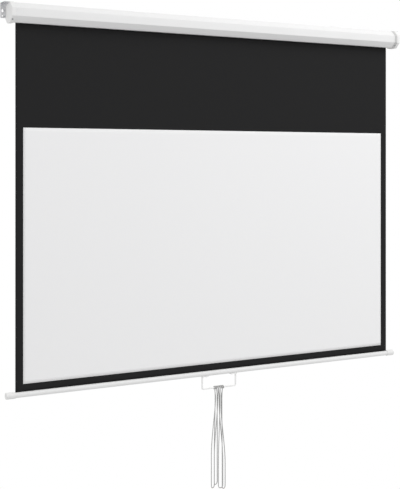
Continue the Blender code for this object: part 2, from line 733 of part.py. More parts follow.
def make_left_plug(roller):
    """The plug that turns on the shaft: flange for the pawl, body in the tube, hub for the spring."""
    bore = SHAFT_RADIUS + GAP
    body = ROLLER_BORE - GAP
    profile = [
        (FLANGE_RADIUS, FLANGE_THICKNESS),
        (FLANGE_RADIUS, 0),
        (body, 0),
        (body, -PLUG_LENGTH),
        (HUB_RADIUS, -PLUG_LENGTH),
        (HUB_RADIUS, -PLUG_LENGTH - HUB_LENGTH),
        (bore, -PLUG_LENGTH - HUB_LENGTH),
        (bore, FLANGE_THICKNESS),
    ]
    plug = turned("roller_plug_left", profile, along_roller(-FLANGE_X), (-1, 0, 0), NYLON, roller, steps=32)
    pivot = along_roller(-FLANGE_OUTER_X) + Vector((0, *PAWL_PIVOT))
    depth = PAWL_PIN_IN_FLANGE + GAP
    hole = cylinder(
        "pawl_pin_hole",
        PAWL_PIN_RADIUS + GAP,
        pivot + Vector((-0.002, 0, 0)),
        pivot + Vector((depth, 0, 0)),
        steps=12,
    )
    cut(plug, hole)
    return plug


def make_right_plug(roller):
    """The plug that holds the idler pin."""
    body = ROLLER_BORE - GAP
    bore = IDLER_PIN_RADIUS + GAP
    depth = IDLER_PIN_IN_PLUG + GAP
    profile = [
        (0, FLANGE_THICKNESS - depth),
        (bore, FLANGE_THICKNESS - depth),
        (bore, FLANGE_THICKNESS),
        (FLANGE_RADIUS, FLANGE_THICKNESS),
        (FLANGE_RADIUS, 0),
        (body, 0),
        (body, -PLUG_LENGTH),
        (0, -PLUG_LENGTH),
    ]
    return turned("roller_plug_right", profile, along_roller(FLANGE_X), (1, 0, 0), NYLON, roller, steps=32)


def make_idler_pin(roller):
    """The steel pin from the right plug into the bush."""
    start = along_roller(FLANGE_OUTER_X - IDLER_PIN_IN_PLUG)
    end = along_roller(CAP_FACE_X - CAP_BOSS_LENGTH * 0.2)
    return cylinder("idler_pin", IDLER_PIN_RADIUS, start, end, STEEL, roller, steps=20)


def pawl_place():
    """The pawl's pivot, in the middle of the pawl's thickness."""
    return along_roller(-LOCK_X - LOCK_THICKNESS / 2) + Vector((0, *PAWL_PIVOT))


def make_pawl(pawl_group):
    """The pawl, swung clear of the disc: an eye round its pin and an arm to its tip."""
    meet = math.asin(PAWL_HALF_WIDTH / PAWL_EYE_RADIUS)
    shape = arc((0, 0), PAWL_EYE_RADIUS, meet, 2 * math.pi - meet, 12)
    shape += [(PAWL_LENGTH, -PAWL_HALF_WIDTH), (PAWL_LENGTH, PAWL_HALF_WIDTH)]
    angle = PAWL_LOCKED_ANGLE + PAWL_SWING
    place = pawl_place()
    outline = [
        (
            place.y + y * math.cos(angle) - z * math.sin(angle),
            place.z + y * math.sin(angle) + z * math.cos(angle),
        )
        for y, z in shape
    ]
    half = LOCK_THICKNESS / 2
    pawl = prism("pawl", outline, "X", place.x - half, place.x + half, STEEL, pawl_group)
    reach = Vector((half + 0.001, 0, 0))
    cut(pawl, cylinder("pawl_bore", PAWL_PIN_RADIUS + GAP, place - reach, place + reach, steps=12))
    return pawl


def make_pawl_pin(roller):
    """The headed pin that the pawl swings on, held in the flange."""
    length = LOCK_THICKNESS + 2 * GAP + PAWL_PIN_IN_FLANGE
    profile = [
        (0, PAWL_PIN_HEAD_HEIGHT),
        (PAWL_PIN_HEAD_RADIUS, PAWL_PIN_HEAD_HEIGHT),
        (PAWL_PIN_HEAD_RADIUS, 0),
        (PAWL_PIN_RADIUS, 0),
        (PAWL_PIN_RADIUS, -length),
        (0, -length),
    ]
    place = pawl_place() - Vector((LOCK_THICKNESS / 2 + GAP, 0, 0))
    return turned("pawl_pin", profile, place, (-1, 0, 0), STEEL, roller, steps=12)


def make_fabric():
    """The flat fabric from the roller's rear to the bar, and the white face on its front."""
    bottom = BAR_Z + BAR_RADIUS - BAR_WALL
    low = (-FABRIC_HALF, FABRIC_FRONT_Y, bottom)
    high = (FABRIC_HALF, FABRIC_FRONT_Y + FABRIC_THICKNESS, ROLLER_Z)
    box("screen_fabric", low, high, BLACK_FABRIC)
    back = FABRIC_FRONT_Y - GAP
    low = (-VIEW_WIDTH / 2, back - WHITE_THICKNESS, WHITE_BOTTOM_Z)
    box("white_surface", low, (VIEW_WIDTH / 2, back, WHITE_TOP_Z), MATTE_WHITE)


def foot_screws():
    """(name, seat, outward direction) of the screws through the grip loop's feet."""
    x = HANDLE_WIDTH / 2 - FOOT_LENGTH + FOOT_SCREW_FROM_END
    z = BAR_Z - BAR_RADIUS - FOOT_THICKNESS
    down = Vector((0, 0, -1))
    return [
        (f"handle_screw_{SIDE_NAMES[side]}", Vector((side * x, BAR_Y, z)), down)
        for side in (LEFT, RIGHT)
    ]


def make_bar(bar):
    """The weight bar: a tube with a slot along its top, and the hem on its rod inside."""
    half_slot = BAR_SLOT / 2
    outer_edge = math.asin(half_slot / BAR_RADIUS)
    inner_edge = math.asin(half_slot / (BAR_RADIUS - BAR_WALL))
    up = math.pi / 2
    centre = (BAR_Y, BAR_Z)
    outline = arc(centre, BAR_RADIUS, up + outer_edge, up + 2 * math.pi - outer_edge, 30)
    outline += arc(centre, BAR_RADIUS - BAR_WALL, up + 2 * math.pi - inner_edge, up + inner_edge, 30)
    half = BAR_HALF - BAR_CAP_END - GAP
    tube = prism("bottom_bar", outline, "X", -half, half, WHITE_PAINT, bar)
    for name, seat, outward in foot_screws():
        cut(tube, screw_hole(f"{name}_bar_hole", seat, outward, FOOT_THICKNESS + 2 * BAR_WALL))
    hem_z = BAR_Z + BAR_RADIUS - BAR_WALL - GAP - HEM_RADIUS
    place = (0, BAR_Y, hem_z)
    inner = HEM_ROD_RADIUS + GAP
    hem = [
        (HEM_RADIUS, FABRIC_HALF),
        (HEM_RADIUS, -FABRIC_HALF),
        (inner, -FABRIC_HALF),
        (inner, FABRIC_HALF),
    ]
    turned("fabric_hem", hem, place, (1, 0, 0), BLACK_FABRIC, bar, steps=16)
    rod = FABRIC_HALF - HEM_ROD_SHORTER
    cylinder("hem_rod", HEM_ROD_RADIUS, (-rod, BAR_Y, hem_z), (rod, BAR_Y, hem_z), STEEL, bar, steps=12)


def make_bar_cap(side, bar):
    """A cap pushed over the bar's end, with a rounded outer edge."""
    bore = BAR_RADIUS + GAP
    shoulder = BAR_CAP_RADIUS - BAR_CAP_ROUNDING
    profile = [(0, BAR_CAP_LENGTH)]
    profile += arc(
        (shoulder, BAR_CAP_LENGTH - BAR_CAP_ROUNDING), BAR_CAP_ROUNDING, math.pi / 2, 0, 4
    )
    depth = BAR_CAP_LENGTH - BAR_CAP_END
    profile += [(BAR_CAP_RADIUS, 0), (bore, 0), (bore, depth), (0, depth)]
    place = (side * (BAR_HALF - BAR_CAP_LENGTH), BAR_Y, BAR_Z)
    name = f"bar_cap_{SIDE_NAMES[side]}"
    return turned(name, profile, place, (side, 0, 0), WHITE_PLASTIC, bar, steps=32)


def make_handle(bar):
    """The grip loop: a bent rod with a saddle foot at each end, screwed to the bar."""
    half = HANDLE_WIDTH / 2 - HANDLE_ROD_RADIUS
    top = BAR_Z - BAR_RADIUS - FOOT_THICKNESS / 2
    corners = [(-half, top), (-half, RAIL_Z), (half, RAIL_Z), (half, top)]
    path = [Vector((x, BAR_Y, z)) for x, z in rounded(corners, HANDLE_BEND_RADIUS, steps=6)]
    handle = realise(tube_along("pull_handle", path, HANDLE_ROD_RADIUS, WHITE_PLASTIC, bar, 3))
    saddle = cylinder(
        "saddle", BAR_RADIUS + GAP, (-HANDLE_WIDTH, BAR_Y, BAR_Z), (HANDLE_WIDTH, BAR_Y, BAR_Z), steps=32
    )
    for side, (screw, seat, outward) in zip((LEFT, RIGHT), foot_screws()):
        low_x, high_x = sorted((side * HANDLE_WIDTH / 2, side * (HANDLE_WIDTH / 2 - FOOT_LENGTH)))
        low = (low_x, BAR_Y - FOOT_DEPTH / 2, BAR_Z - BAR_RADIUS - FOOT_THICKNESS)
        high = (high_x, BAR_Y + FOOT_DEPTH / 2, BAR_Z - BAR_RADIUS + FOOT_WRAP)
        join(handle, box(f"foot_{SIDE_NAMES[side]}", low, high))
        cut(handle, screw_hole(f"{screw}_foot_hole", seat, outward, FOOT_THICKNESS + FOOT_WRAP))
    cut(handle, saddle)
    for screw, seat, outward in foot_screws():
        pan_screw(screw, seat, outward, HANDLE_SCREW_LENGTH, ZINC, bar)
    return handle


def smooth(value):
    """0 to 1 with a level start and end."""
    value = min(max(value, 0.0), 1.0)
    return value * value * (3 - 2 * value)


def hank_points():
    """The cord's centre line: down to a fold and up again, over the rail, and so on, from tie to tie.

    Each strand is drawn in to the waist just under the rail, then spreads to its end of a half-round fold.
    Strands go down in front of the rail and come up behind it.
    """
    rail = Vector((0, BAR_Y, RAIL_Z))
    pass_drop = PASS_RADIUS - (HANDLE_ROD_RADIUS + CORD_TO_RAIL + CORD_RADIUS)
    tie_drop = HANDLE_ROD_RADIUS + CORD_TO_RAIL + 2 * CORD_RADIUS + GAP
    last = len(FOLD_PLACES) - 1

    def strand(start, waist, end, spread_depths):
        """The points between a strand's upper end and its fold, nearer together at the top."""
        low, high = spread_depths
        points = []
        for i in range(1, STRAND_STEPS):
            z = start.z + (end.z - start.z) * (i / STRAND_STEPS) ** STRAND_STEP_GROWTH
            gather = smooth((start.z - z) / (start.z + GATHERED_AT))
            spread = smooth((-z - low) / (high - low))
            flat = start.xy.lerp(waist, gather) + (end.xy - waist) * spread
            points.append(Vector((*flat, z)))
        return points

    def half_round(start, end, rise):
        """The points of a half circle between two strands, which rises or falls between them."""
        middle, half = (start + end) / 2, (end - start) / 2
        points = []
        for i in range(FOLD_STEPS + 1 if rise < 0 else PASS_STEPS + 1):
            angle = math.pi * i / (FOLD_STEPS if rise < 0 else PASS_STEPS)
            points.append(middle - half * math.cos(angle) + Vector((0, 0, rise * math.sin(angle))))
        return points

    points = []
    top = Vector((TIE_PLACES[0], 0, -tie_drop))
    for k, (place, turn, lift) in enumerate(zip(FOLD_PLACES, FOLD_TURNS, FOLD_LIFTS)):
        depth = HANK_DROP - lift - FOLD_RADIUS - CORD_RADIUS
        chord = FOLD_RADIUS * Vector((math.cos(turn), math.sin(turn), 0))
        front, rear = (Vector((place, 0, -depth)) + facing * chord for facing in (-1, 1))
        points += [top] if k == 0 else []
        points += strand(top, Vector((WAIST_FRONT[k], -WAIST_ROW)), front, SPREADS[k])
        points += half_round(front, rear, -FOLD_RADIUS)
        if k == last:
            top = Vector((TIE_PLACES[1], 0, -tie_drop))
        else:
            top = Vector((WAIST_REAR[k], PASS_RADIUS, -pass_drop))
        points += strand(top, Vector((WAIST_REAR[k], WAIST_ROW)), rear, SPREADS[k])[::-1]
        if k == last:
            points.append(top)
            continue
        over = Vector((WAIST_FRONT[k + 1], -PASS_RADIUS, -pass_drop))
        points += half_round(top, over, PASS_RADIUS)
        top = over
    return [rail + point for point in points]


def measure(points, radius):
    """Length of a tube's centre line, and its least gap to itself, taken every 2 mm along it."""
    step = 0.002
    places, travelled, total = [], [], 0.0
    for first, second in zip(points, points[1:]):
        span = (second - first).length
        count = max(1, round(span / step))
        for i in range(count):
            places.append(first.lerp(second, i / count))
            travelled.append(total + span * i / count)
        total += span
    nearest = min(
        (places[i] - places[j]).length
        for i in range(len(places))
        for j in range(i + 1, len(places))
        if travelled[j] - travelled[i] > 8 * radius
    )
    return total, nearest - 2 * radius


def make_cord(bar):
    """The hank, and the two ties round the rail that its ends go into."""
    points = hank_points()
    tube_along("pull_cord", points, CORD_RADIUS, CORD_WHITE, bar)
    length, gap = measure(points, CORD_RADIUS)
    print(f"pull_cord: {length:.3f} m long, least gap to itself {gap * 1000:.2f} mm")
    reach = HANDLE_ROD_RADIUS + CORD_TO_RAIL + CORD_RADIUS
    per_turn = 14
    for side, place in zip((LEFT, RIGHT), TIE_PLACES):
        turns = []
        for i in range(TIE_TURNS * per_turn + 1):
            angle = -math.pi / 2 + 2 * math.pi * i / per_turn
            x = place + TIE_PITCH * (i / per_turn - TIE_TURNS / 2)
            turns.append(Vector((x, BAR_Y + reach * math.cos(angle), RAIL_Z + reach * math.sin(angle))))
        tube_along(f"cord_tie_{SIDE_NAMES[side]}", turns, CORD_RADIUS, CORD_WHITE, bar)


def make_screen():
    roller = add_group("roller", (0, ROLLER_Y, ROLLER_Z))
    pawl_group = add_group("pawl_pivot", pawl_place())
    bar = add_group("bar", (0, BAR_Y, BAR_Z))
    make_case()
    for side in (LEFT, RIGHT):
        make_end_cap(side)
        make_cap_screws(side)
        make_bracket(side)
        make_bracket_screws(side)
        make_bar_cap(side, bar)
    make_spring_shaft()
    make_ratchet_disc()
    make_spring_anchor()
    make_circlip()
    make_torsion_spring()
    make_idler_bush()
    make_roller(roller)
    make_left_plug(roller)
    make_right_plug(roller)
    make_idler_pin(roller)
    make_pawl_pin(roller)
    make_pawl(pawl_group)
    make_fabric()
    make_bar(bar)
    make_handle(bar)
    make_cord(bar)
    ratio = 2 * math.pi * ROLLER_TURNS / TRAVEL
    print(f"travel {TRAVEL:.4f} m, {ROLLER_TURNS} turns of the roller, {ratio:.4f} rad/m")


make_screen()
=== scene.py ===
"""The looks of a manual pull-down projection screen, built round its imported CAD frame.

Metres, +Z up. +X is to the right of someone who faces the screen, the front faces -Y and the wall is Y = 0.
Each sub-assembly is a class: its fields are its sizes, and its methods make its surfaces and dress them.
"""

from __future__ import annotations

import logging
import math
from dataclasses import asdict, dataclass, field, replace
from enum import Enum
from typing import Callable, Sequence

import bmesh
import bpy
import numpy as np
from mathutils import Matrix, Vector
from mathutils.geometry import delaunay_2d_cdt

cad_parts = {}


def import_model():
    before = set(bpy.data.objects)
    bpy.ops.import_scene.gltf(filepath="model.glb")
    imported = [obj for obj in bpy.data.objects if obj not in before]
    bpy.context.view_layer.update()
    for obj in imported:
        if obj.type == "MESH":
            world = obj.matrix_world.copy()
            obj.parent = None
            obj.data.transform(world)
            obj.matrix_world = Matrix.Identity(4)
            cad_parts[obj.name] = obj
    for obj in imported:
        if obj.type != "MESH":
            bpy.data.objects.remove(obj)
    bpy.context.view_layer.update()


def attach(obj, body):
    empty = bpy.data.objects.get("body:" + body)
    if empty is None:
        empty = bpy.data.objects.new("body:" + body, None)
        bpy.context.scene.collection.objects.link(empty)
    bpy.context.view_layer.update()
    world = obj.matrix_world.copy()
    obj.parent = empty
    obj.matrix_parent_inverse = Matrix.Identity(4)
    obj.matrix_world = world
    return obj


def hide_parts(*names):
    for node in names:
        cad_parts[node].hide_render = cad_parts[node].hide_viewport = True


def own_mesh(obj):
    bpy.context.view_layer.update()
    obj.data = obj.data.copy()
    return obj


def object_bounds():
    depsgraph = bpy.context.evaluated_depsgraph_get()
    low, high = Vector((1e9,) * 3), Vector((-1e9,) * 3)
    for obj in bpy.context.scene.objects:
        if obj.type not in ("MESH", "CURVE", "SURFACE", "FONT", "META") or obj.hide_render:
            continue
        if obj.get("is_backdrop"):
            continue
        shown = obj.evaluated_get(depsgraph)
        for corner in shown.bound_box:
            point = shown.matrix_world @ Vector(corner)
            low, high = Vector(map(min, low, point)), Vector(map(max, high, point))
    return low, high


LOG = logging.getLogger("projection_screen")

Array = np.ndarray
Node = bpy.types.Node
Piece = bpy.types.Object
Socket = bpy.types.NodeSocket
Sockets = bpy.types.bpy_prop_collection
Point = tuple[float, float, float]

# A ripple's share of the height, its turning a metre along X and along Z, and its start
Wave = tuple[float, float, float, float]

# Edges that turn more than this stay sharp to the eye
SHARP_ANGLE = math.radians(38)

# Edges that turn more than this are rounded where a piece's edges are broken
BROKEN_ANGLE = math.radians(50)

# Points nearer together than this are one point, and edges shorter than a tenth of it are none
WELD = 2e-6

# Room left between pieces that touch or run in one another
GAP = 0.0003

# How far a solid that cuts runs past the face where it leaves
CUT_PAST = 0.002

X_AXIS = np.array([1.0, 0.0, 0.0])
Y_AXIS = np.array([0.0, 1.0, 0.0])
Z_AXIS = np.array([0.0, 0.0, 1.0])

# White, as a shader takes it
WHITE = (1.0, 1.0, 1.0, 1.0)

# Directions from an octagon's middle to its corners, clockwise in (Y, Z) from the lower front one
OCTAGON = -5 * math.pi / 8 - math.pi / 4 * np.arange(8)

# Corners of a square about its middle, a unit from it both ways
SQUARE = np.array([[-1, -1], [1, -1], [1, 1], [-1, 1]])


class Side(Enum):
    """The two ends of the screen, as someone who faces it sees them."""

    LEFT = -1
    RIGHT = 1

    @property
    def word(self) -> str:
        """The side's name, as it stands in the names of pieces."""
        return self.name.lower()


class Body(Enum):
    """The CAD's moving bodies."""

    HOUSING = "housing"
    ROLLER = "roller"
    BAR = "weight_bar"
    PAWL = "lock_pawl"


@dataclass(frozen=True)
class Layout:
    """Places that several sub-assemblies share; cross sections are (Y, Z)."""

    case_centre: tuple[float, float] = (-0.043, -0.016)
    case_across: float = 0.078
    case_bottom: float = -0.055
    slot_front: float = -0.042346
    slot_rear: float = -0.027346
    cap_inner_x: float = 0.9485
    cap_collar: float = 0.015
    cap_end_wall: float = 0.003
    neck_length: float = 0.0125
    boss_length: float = 0.010
    fabric_half: float = 0.9325
    fabric_y: float = -0.034846
    fabric_thickness: float = 0.00045
    bar_z: float = -1.5195
    bar_radius: float = 0.011
    rail_z: float = -1.5855
    roller_y: float = -0.053809
    roller_z: float = -0.016

    def neck(self, side: Side) -> float:
        """Length of the recessed neck that only the right cap has, between its mouth and its rim."""
        return self.neck_length if side is Side.RIGHT else 0.0

    def cap_outer(self, side: Side) -> float:
        """How far out a cap's outer face lies."""
        return self.cap_inner_x + self.cap_collar + self.neck(side)

    def cap_face(self, side: Side) -> float:
        """How far out the inner face of a cap's end wall lies."""
        return self.cap_outer(side) - self.cap_end_wall

    @property
    def boss_x(self) -> float:
        """How far out the caps' bearing bosses begin."""
        return self.cap_face(Side.LEFT) - self.boss_length


LAYOUT = Layout()


# Arrays of points


def unit(vectors: Array) -> Array:
    """Vectors divided by their own lengths."""
    return vectors / np.linalg.norm(vectors, axis=-1, keepdims=True)


def smooth(value: Array) -> Array:
    """0 to 1 with level ends: 3 v squared less 2 v cubed, of the value held between 0 and 1."""
    held = np.clip(value, 0.0, 1.0)
    return held * held * (3 - 2 * held)


def on_circle(angles: Array) -> Array:
    """Points of the unit circle: the cosine and sine of each angle, in a new last axis."""
    return np.stack([np.cos(angles), np.sin(angles)], axis=-1)


def full_turn(steps: int) -> Array:
    """Angles that divide a full turn evenly, from 0."""
    return np.linspace(0, 2 * math.pi, steps, endpoint=False)


def arc(centre: Sequence[float], radius: float, start: float, end: float, steps: int) -> Array:
    """Points on a circle, both ends included.

    Args:
        centre: The circle's middle.
        radius: Its radius.
        start: The first angle, in radians.
        end: The last angle.
        steps: How many pieces the arc has.

    Returns:
        (steps + 1, 2) points: centre plus radius times the cosine and sine of each angle.
    """
    return np.array(centre) + radius * on_circle(np.linspace(start, end, steps + 1))


def filleted(corners: Array, radius: float | Sequence[float], steps: int = 6, closed: bool = False) -> Array:
    """A flat path with its corners rounded.

    Args:
        corners: (n, 2) corners.
        radius: One radius for all, or one a corner; 0 keeps a corner sharp.
        steps: Pieces in each rounded corner.
        closed: Whether the path closes on itself; the ends of an open one stay.

    Returns:
        (m, 2) points. Each arc touches both its sides, so its middle lies radius over the sine of half the
        corner's angle from the corner, along the corner's bisector.
    """
    corners = np.asarray(corners, float)
    count = len(corners)
    radii = np.full(count, radius, float) if np.isscalar(radius) else np.asarray(radius, float)
    pieces = []
    for i, (here, size) in enumerate(zip(corners, radii)):
        if size <= 0 or (not closed and i in (0, count - 1)):
            pieces.append(here[None])
            continue
        before, after = unit(corners[i - 1] - here), unit(corners[(i + 1) % count] - here)
        half = math.acos(float(np.clip(before @ after, -1, 1))) / 2
        centre = here + unit(before + after) * size / math.sin(half)
        first, last = (here + side * size / math.tan(half) - centre for side in (before, after))
        start = math.atan2(first[1], first[0])
        turn = math.atan2(first[0] * last[1] - first[1] * last[0], first @ last)
        pieces.append(arc(centre, size, start, start + turn, steps))
    return np.concatenate(pieces)


def beside(path: Array, distance: float) -> Array:
    """An open path moved to its right, with mitred corners.

    Args:
        path: (n, 2) points.
        distance: How far to move it.

    Returns:
        (n, 2) points: each moved along the mean of its two pieces' normals, by the distance over the cosine
        of half the turn.
    """
    steps = unit(np.diff(path, axis=0))
    normals = np.column_stack([steps[:, 1], -steps[:, 0]])
    arriving = np.concatenate([normals[:1], normals])
    leaving = np.concatenate([normals, normals[-1:]])
    middle = unit(arriving + leaving)
    return path + middle * distance / np.sum(middle * arriving, axis=1, keepdims=True)


def wall_outline(path: Array, thickness: float) -> Array:
    """The closed outline of a wall of even thickness: the path, and back along the path beside it."""
    return np.concatenate([path, beside(path, thickness)[::-1]])


def octagon_inset(across: float, corner: float, inset: float, steps: int = 6) -> Array:
    """A regular octagon with rounded corners, drawn in by an inset, about the origin.

    Args:
        across: Size across the flats at no inset.
        corner: Radius of its corners at no inset.
        inset: How far each flat moves in.
        steps: Pieces in each rounded corner.

    Returns:
        (8 (steps + 1), 2) points. The corners' centres stay where they are while the inset is less than the
        corner radius, and then the octagon of centres shrinks towards the middle in step with the inset.
    """
    centres = (across / 2 - corner) / math.cos(math.pi / 8) * on_circle(OCTAGON)
    shrink = 1.0 if inset <= corner else (across / 2 - inset) / (across / 2 - corner)
    fan = OCTAGON[:, None] + np.linspace(math.pi / 8, -math.pi / 8, steps + 1)
    round_part = max(corner - inset, 0.0) * on_circle(fan)
    return (max(shrink, 0.0) * centres[:, None] + round_part).reshape(-1, 2)


def crosswise(direction: Array) -> tuple[Array, Array]:
    """Two unit vectors across a direction and across each other.

    Args:
        direction: A unit vector.

    Returns:
        The direction crossed with an axis that it doesn't follow, and what is across both.
    """
    helper = Y_AXIS if abs(direction[2]) > 0.9 else Z_AXIS
    first = unit(np.cross(helper, direction))
    return first, np.cross(direction, first)


def round_axis(angles: Array, first: Array, second: Array) -> Array:
    """Directions at angles round an axis: first times the cosine plus second times the sine."""
    return np.cos(angles)[..., None] * first + np.sin(angles)[..., None] * second


def distances(path: Array) -> Array:
    """How far along a path each of its points lies."""
    return np.concatenate([[0.0], np.cumsum(np.linalg.norm(np.diff(path, axis=0), axis=1))])


def tube_frame(path: Array, reference: Array) -> tuple[Array, Array]:
    """Across directions that are carried along a path without turning about it.

    Args:
        path: (n, 3) points.
        reference: A direction that the path never runs along.

    Returns:
        (n, 3) first and second directions across the path. A frame that leans on the reference turns about
        the path; the sum of that turning is taken off again.
    """
    tangent = unit(np.gradient(path, axis=0))
    leaning = unit(reference - tangent * (tangent @ reference)[:, None])
    across = np.cross(tangent, leaning)
    turning = np.sum(np.gradient(leaning, axis=0) * across, axis=1)
    angle = -np.concatenate([[0.0], np.cumsum((turning[1:] + turning[:-1]) / 2)])[:, None]
    first = np.cos(angle) * leaning + np.sin(angle) * across
    return first, np.cross(tangent, first)


# Meshes


@dataclass
class Shell:
    """Grids of points that are welded into one skin."""

    points: list[Array] = field(default_factory=list)
    faces: list[Array] = field(default_factory=list)
    maps: list[Array] = field(default_factory=list)
    count: int = 0

    def grid(self, points: Array, wrap: bool = False, uv: Array | None = None) -> Shell:
        """Adds a surface of two parameters.

        Args:
            points: (rows, columns, 3) points.
            wrap: Whether the last column joins the first.
            uv: (rows, columns, 2) map, with one column more where the grid wraps.

        Returns:
            The shell itself.
        """
        rows, columns = points.shape[:2]
        i, j = np.meshgrid(np.arange(rows - 1), np.arange(columns if wrap else columns - 1), indexing="ij")
        k = (j + 1) % columns
        corners = [i * columns + j, i * columns + k, (i + 1) * columns + k, (i + 1) * columns + j]
        self.faces.append(self.count + np.stack(corners, axis=-1).reshape(-1, 4))
        if uv is None:
            self.maps.append(np.zeros((i.size, 4, 2)))
        else:
            loops = [uv[i, j], uv[i, j + 1], uv[i + 1, j + 1], uv[i + 1, j]]
            self.maps.append(np.stack(loops, axis=-2).reshape(-1, 4, 2))
        self.points.append(points.reshape(-1, 3))
        self.count += rows * columns
        return self

    def fan(self, rim: Array, middle: Array) -> None:
        """Adds triangles from a closed rim to its middle."""
        self.grid(np.stack([rim, np.broadcast_to(middle, rim.shape)]), wrap=True)

    def along_x(self, outline: Array, places: Array, halves: bool = True) -> Shell:
        """Adds a closed (Y, Z) outline carried along X, with closed ends.

        Args:
            outline: (n, 2) points.
            places: (m,) X of its sections.
            halves: True where the outline is a wall's, so that an end joins its first half to its second;
                False where it has one middle that sees all of it.

        Returns:
            The shell itself.
        """
        flat = np.broadcast_to(outline, (len(places), *outline.shape))
        x = np.broadcast_to(np.asarray(places)[:, None, None], (*flat.shape[:2], 1))
        body = np.concatenate([x, flat], axis=-1)
        self.grid(body, wrap=True)
        middle = len(outline) // 2
        for end in (body[0], body[-1]):
            if halves:
                self.grid(np.stack([end[:middle], end[middle:][::-1]]))
            else:
                self.fan(end, end.mean(axis=0))
        return self

    def turned(
        self, profile: Array, place: Array, direction: Array, steps: int = 48, ring: bool = False
    ) -> Shell:
        """Adds a turned surface: a profile of (radius, height) carried round an axis.

        Args:
            profile: (n, 2) points; height runs along the direction.
            place: Where height is 0 on the axis.
            direction: The axis.
            steps: Pieces in one turn.
            ring: Whether the profile closes on itself.

        Returns:
            The shell itself.
        """
        direction = unit(np.asarray(direction, float))
        rim = round_axis(full_turn(steps), *crosswise(direction))
        rows = np.concatenate([profile, profile[:1]]) if ring else np.asarray(profile, float)
        points = np.asarray(place) + rows[:, None, :1] * rim + rows[:, None, 1:] * direction
        return self.grid(points, wrap=True)

    def swept(
        self,
        path: Array,
        radius: float | Array,
        reference: Array,
        steps: int = 16,
        twist: float | Array = 0.0,
    ) -> Shell:
        """Adds a tube along a path, closed at both ends, with a map of distance along and turns round it.

        Args:
            path: (n, 3) points of its middle.
            radius: Its radius: one for all, or (n, steps) of them.
            reference: A direction that the path never runs along.
            steps: Pieces round it.
            twist: How far its section is turned: one angle, or (n, 1) of them.

        Returns:
            The shell itself: middle plus radius times the cosine and sine of the angle round it.
        """
        first, second = tube_frame(path, reference)
        rim = round_axis(full_turn(steps) + twist, first[:, None], second[:, None])
        skin = path[:, None] + np.broadcast_to(radius, (len(path), steps))[..., None] * rim
        u, v = np.meshgrid(distances(path), np.linspace(0, 1, steps + 1), indexing="ij")
        self.grid(skin, wrap=True, uv=np.stack([u, v], axis=-1))
        self.fan(skin[0], path[0])
        self.fan(skin[-1], path[-1])
        return self

    def build(self, name: str, closed: bool = True) -> Piece:
        """Welds the grids and makes them an object, smooth but for its sharp edges.

        Args:
            name: The object's name.
            closed: Whether the skin is closed, so that its faces can be turned outward.

        Returns:
            The object, at the origin, its place in its mesh.
        """
        mesh = bpy.data.meshes.new(name)
        faces = np.concatenate(self.faces)
        mesh.from_pydata(np.concatenate(self.points).tolist(), [], faces.tolist())
        mesh.uv_layers.new(name="UVMap").data.foreach_set("uv", np.concatenate(self.maps).ravel())
        weld(mesh, WELD, WELD / 10, closed)
        return shade(linked(name, mesh))


def linked(name: str, data: bpy.types.ID) -> Piece:
    """A new object of the data, in the scene, at the origin."""
    obj = bpy.data.objects.new(name, data)
    bpy.context.scene.collection.objects.link(obj)
    return obj


def weld(mesh: bpy.types.Mesh, near: float, short: float = 0.0, closed: bool = True) -> None:
    """Makes near points one, and turns a closed skin's faces outward.

    Args:
        mesh: The mesh, which is changed.
        near: Points nearer together than this become one.
        short: Edges shorter than this are dissolved; 0 leaves them.
        closed: Whether the skin is closed.
    """
    welded = bmesh.new()
    welded.from_mesh(mesh)
    bmesh.ops.remove_doubles(welded, verts=welded.verts, dist=near)
    if short:
        bmesh.ops.dissolve_degenerate(welded, edges=welded.edges, dist=short)
    if closed:
        bmesh.ops.recalc_face_normals(welded, faces=welded.faces)
    welded.to_mesh(mesh)
    welded.free()


def shade(obj: Piece) -> Piece:
    """Shades a piece smooth, except across edges that turn more than the sharp angle, and returns it."""
    obj.data.shade_smooth()
    obj.data.set_sharp_from_angle(angle=SHARP_ANGLE)
    return obj


def settle(obj: Piece) -> Piece:
    """Makes a piece's modifiers part of its mesh.

    Args:
        obj: The piece.

    Returns:
        The same object with the finished mesh, welded and turned outward.
    """
    bpy.context.view_layer.update()
    graph = bpy.context.evaluated_depsgraph_get()
    mesh = bpy.data.meshes.new_from_object(obj.evaluated_get(graph))
    weld(mesh, WELD)
    obj.modifiers.clear()
    obj.data = mesh
    return shade(obj)


def break_edges(obj: Piece, width: float, segments: int = 2) -> Piece:
    """Rounds a piece's hard edges and settles it.

    Args:
        obj: The piece, with any other modifiers that it still has.
        width: How wide the rounding is.
        segments: Pieces in each rounding.

    Returns:
        The piece.
    """
    bevel = obj.modifiers.new("broken_edges", "BEVEL")
    bevel.width, bevel.segments, bevel.angle_limit = width, segments, BROKEN_ANGLE
    return settle(obj)


def combine(obj: Piece, added: Sequence[Piece] = (), taken: Sequence[Piece] = ()) -> Piece:
    """Adds solids to a piece and takes others away from it.

    Args:
        obj: The piece that is changed.
        added: Solids that become part of it; they are used up.
        taken: Solids whose space is cut out of it; they are used up.

    Returns:
        The piece, with all of it in its mesh.
    """
    for operation, tools in (("UNION", added), ("DIFFERENCE", taken)):
        for tool in tools:
            modifier = obj.modifiers.new("combine", "BOOLEAN")
            modifier.operation, modifier.solver, modifier.object = operation, "EXACT", tool
    settle(obj)
    for tool in (*added, *taken):
        bpy.data.objects.remove(tool, do_unlink=True)
    return obj


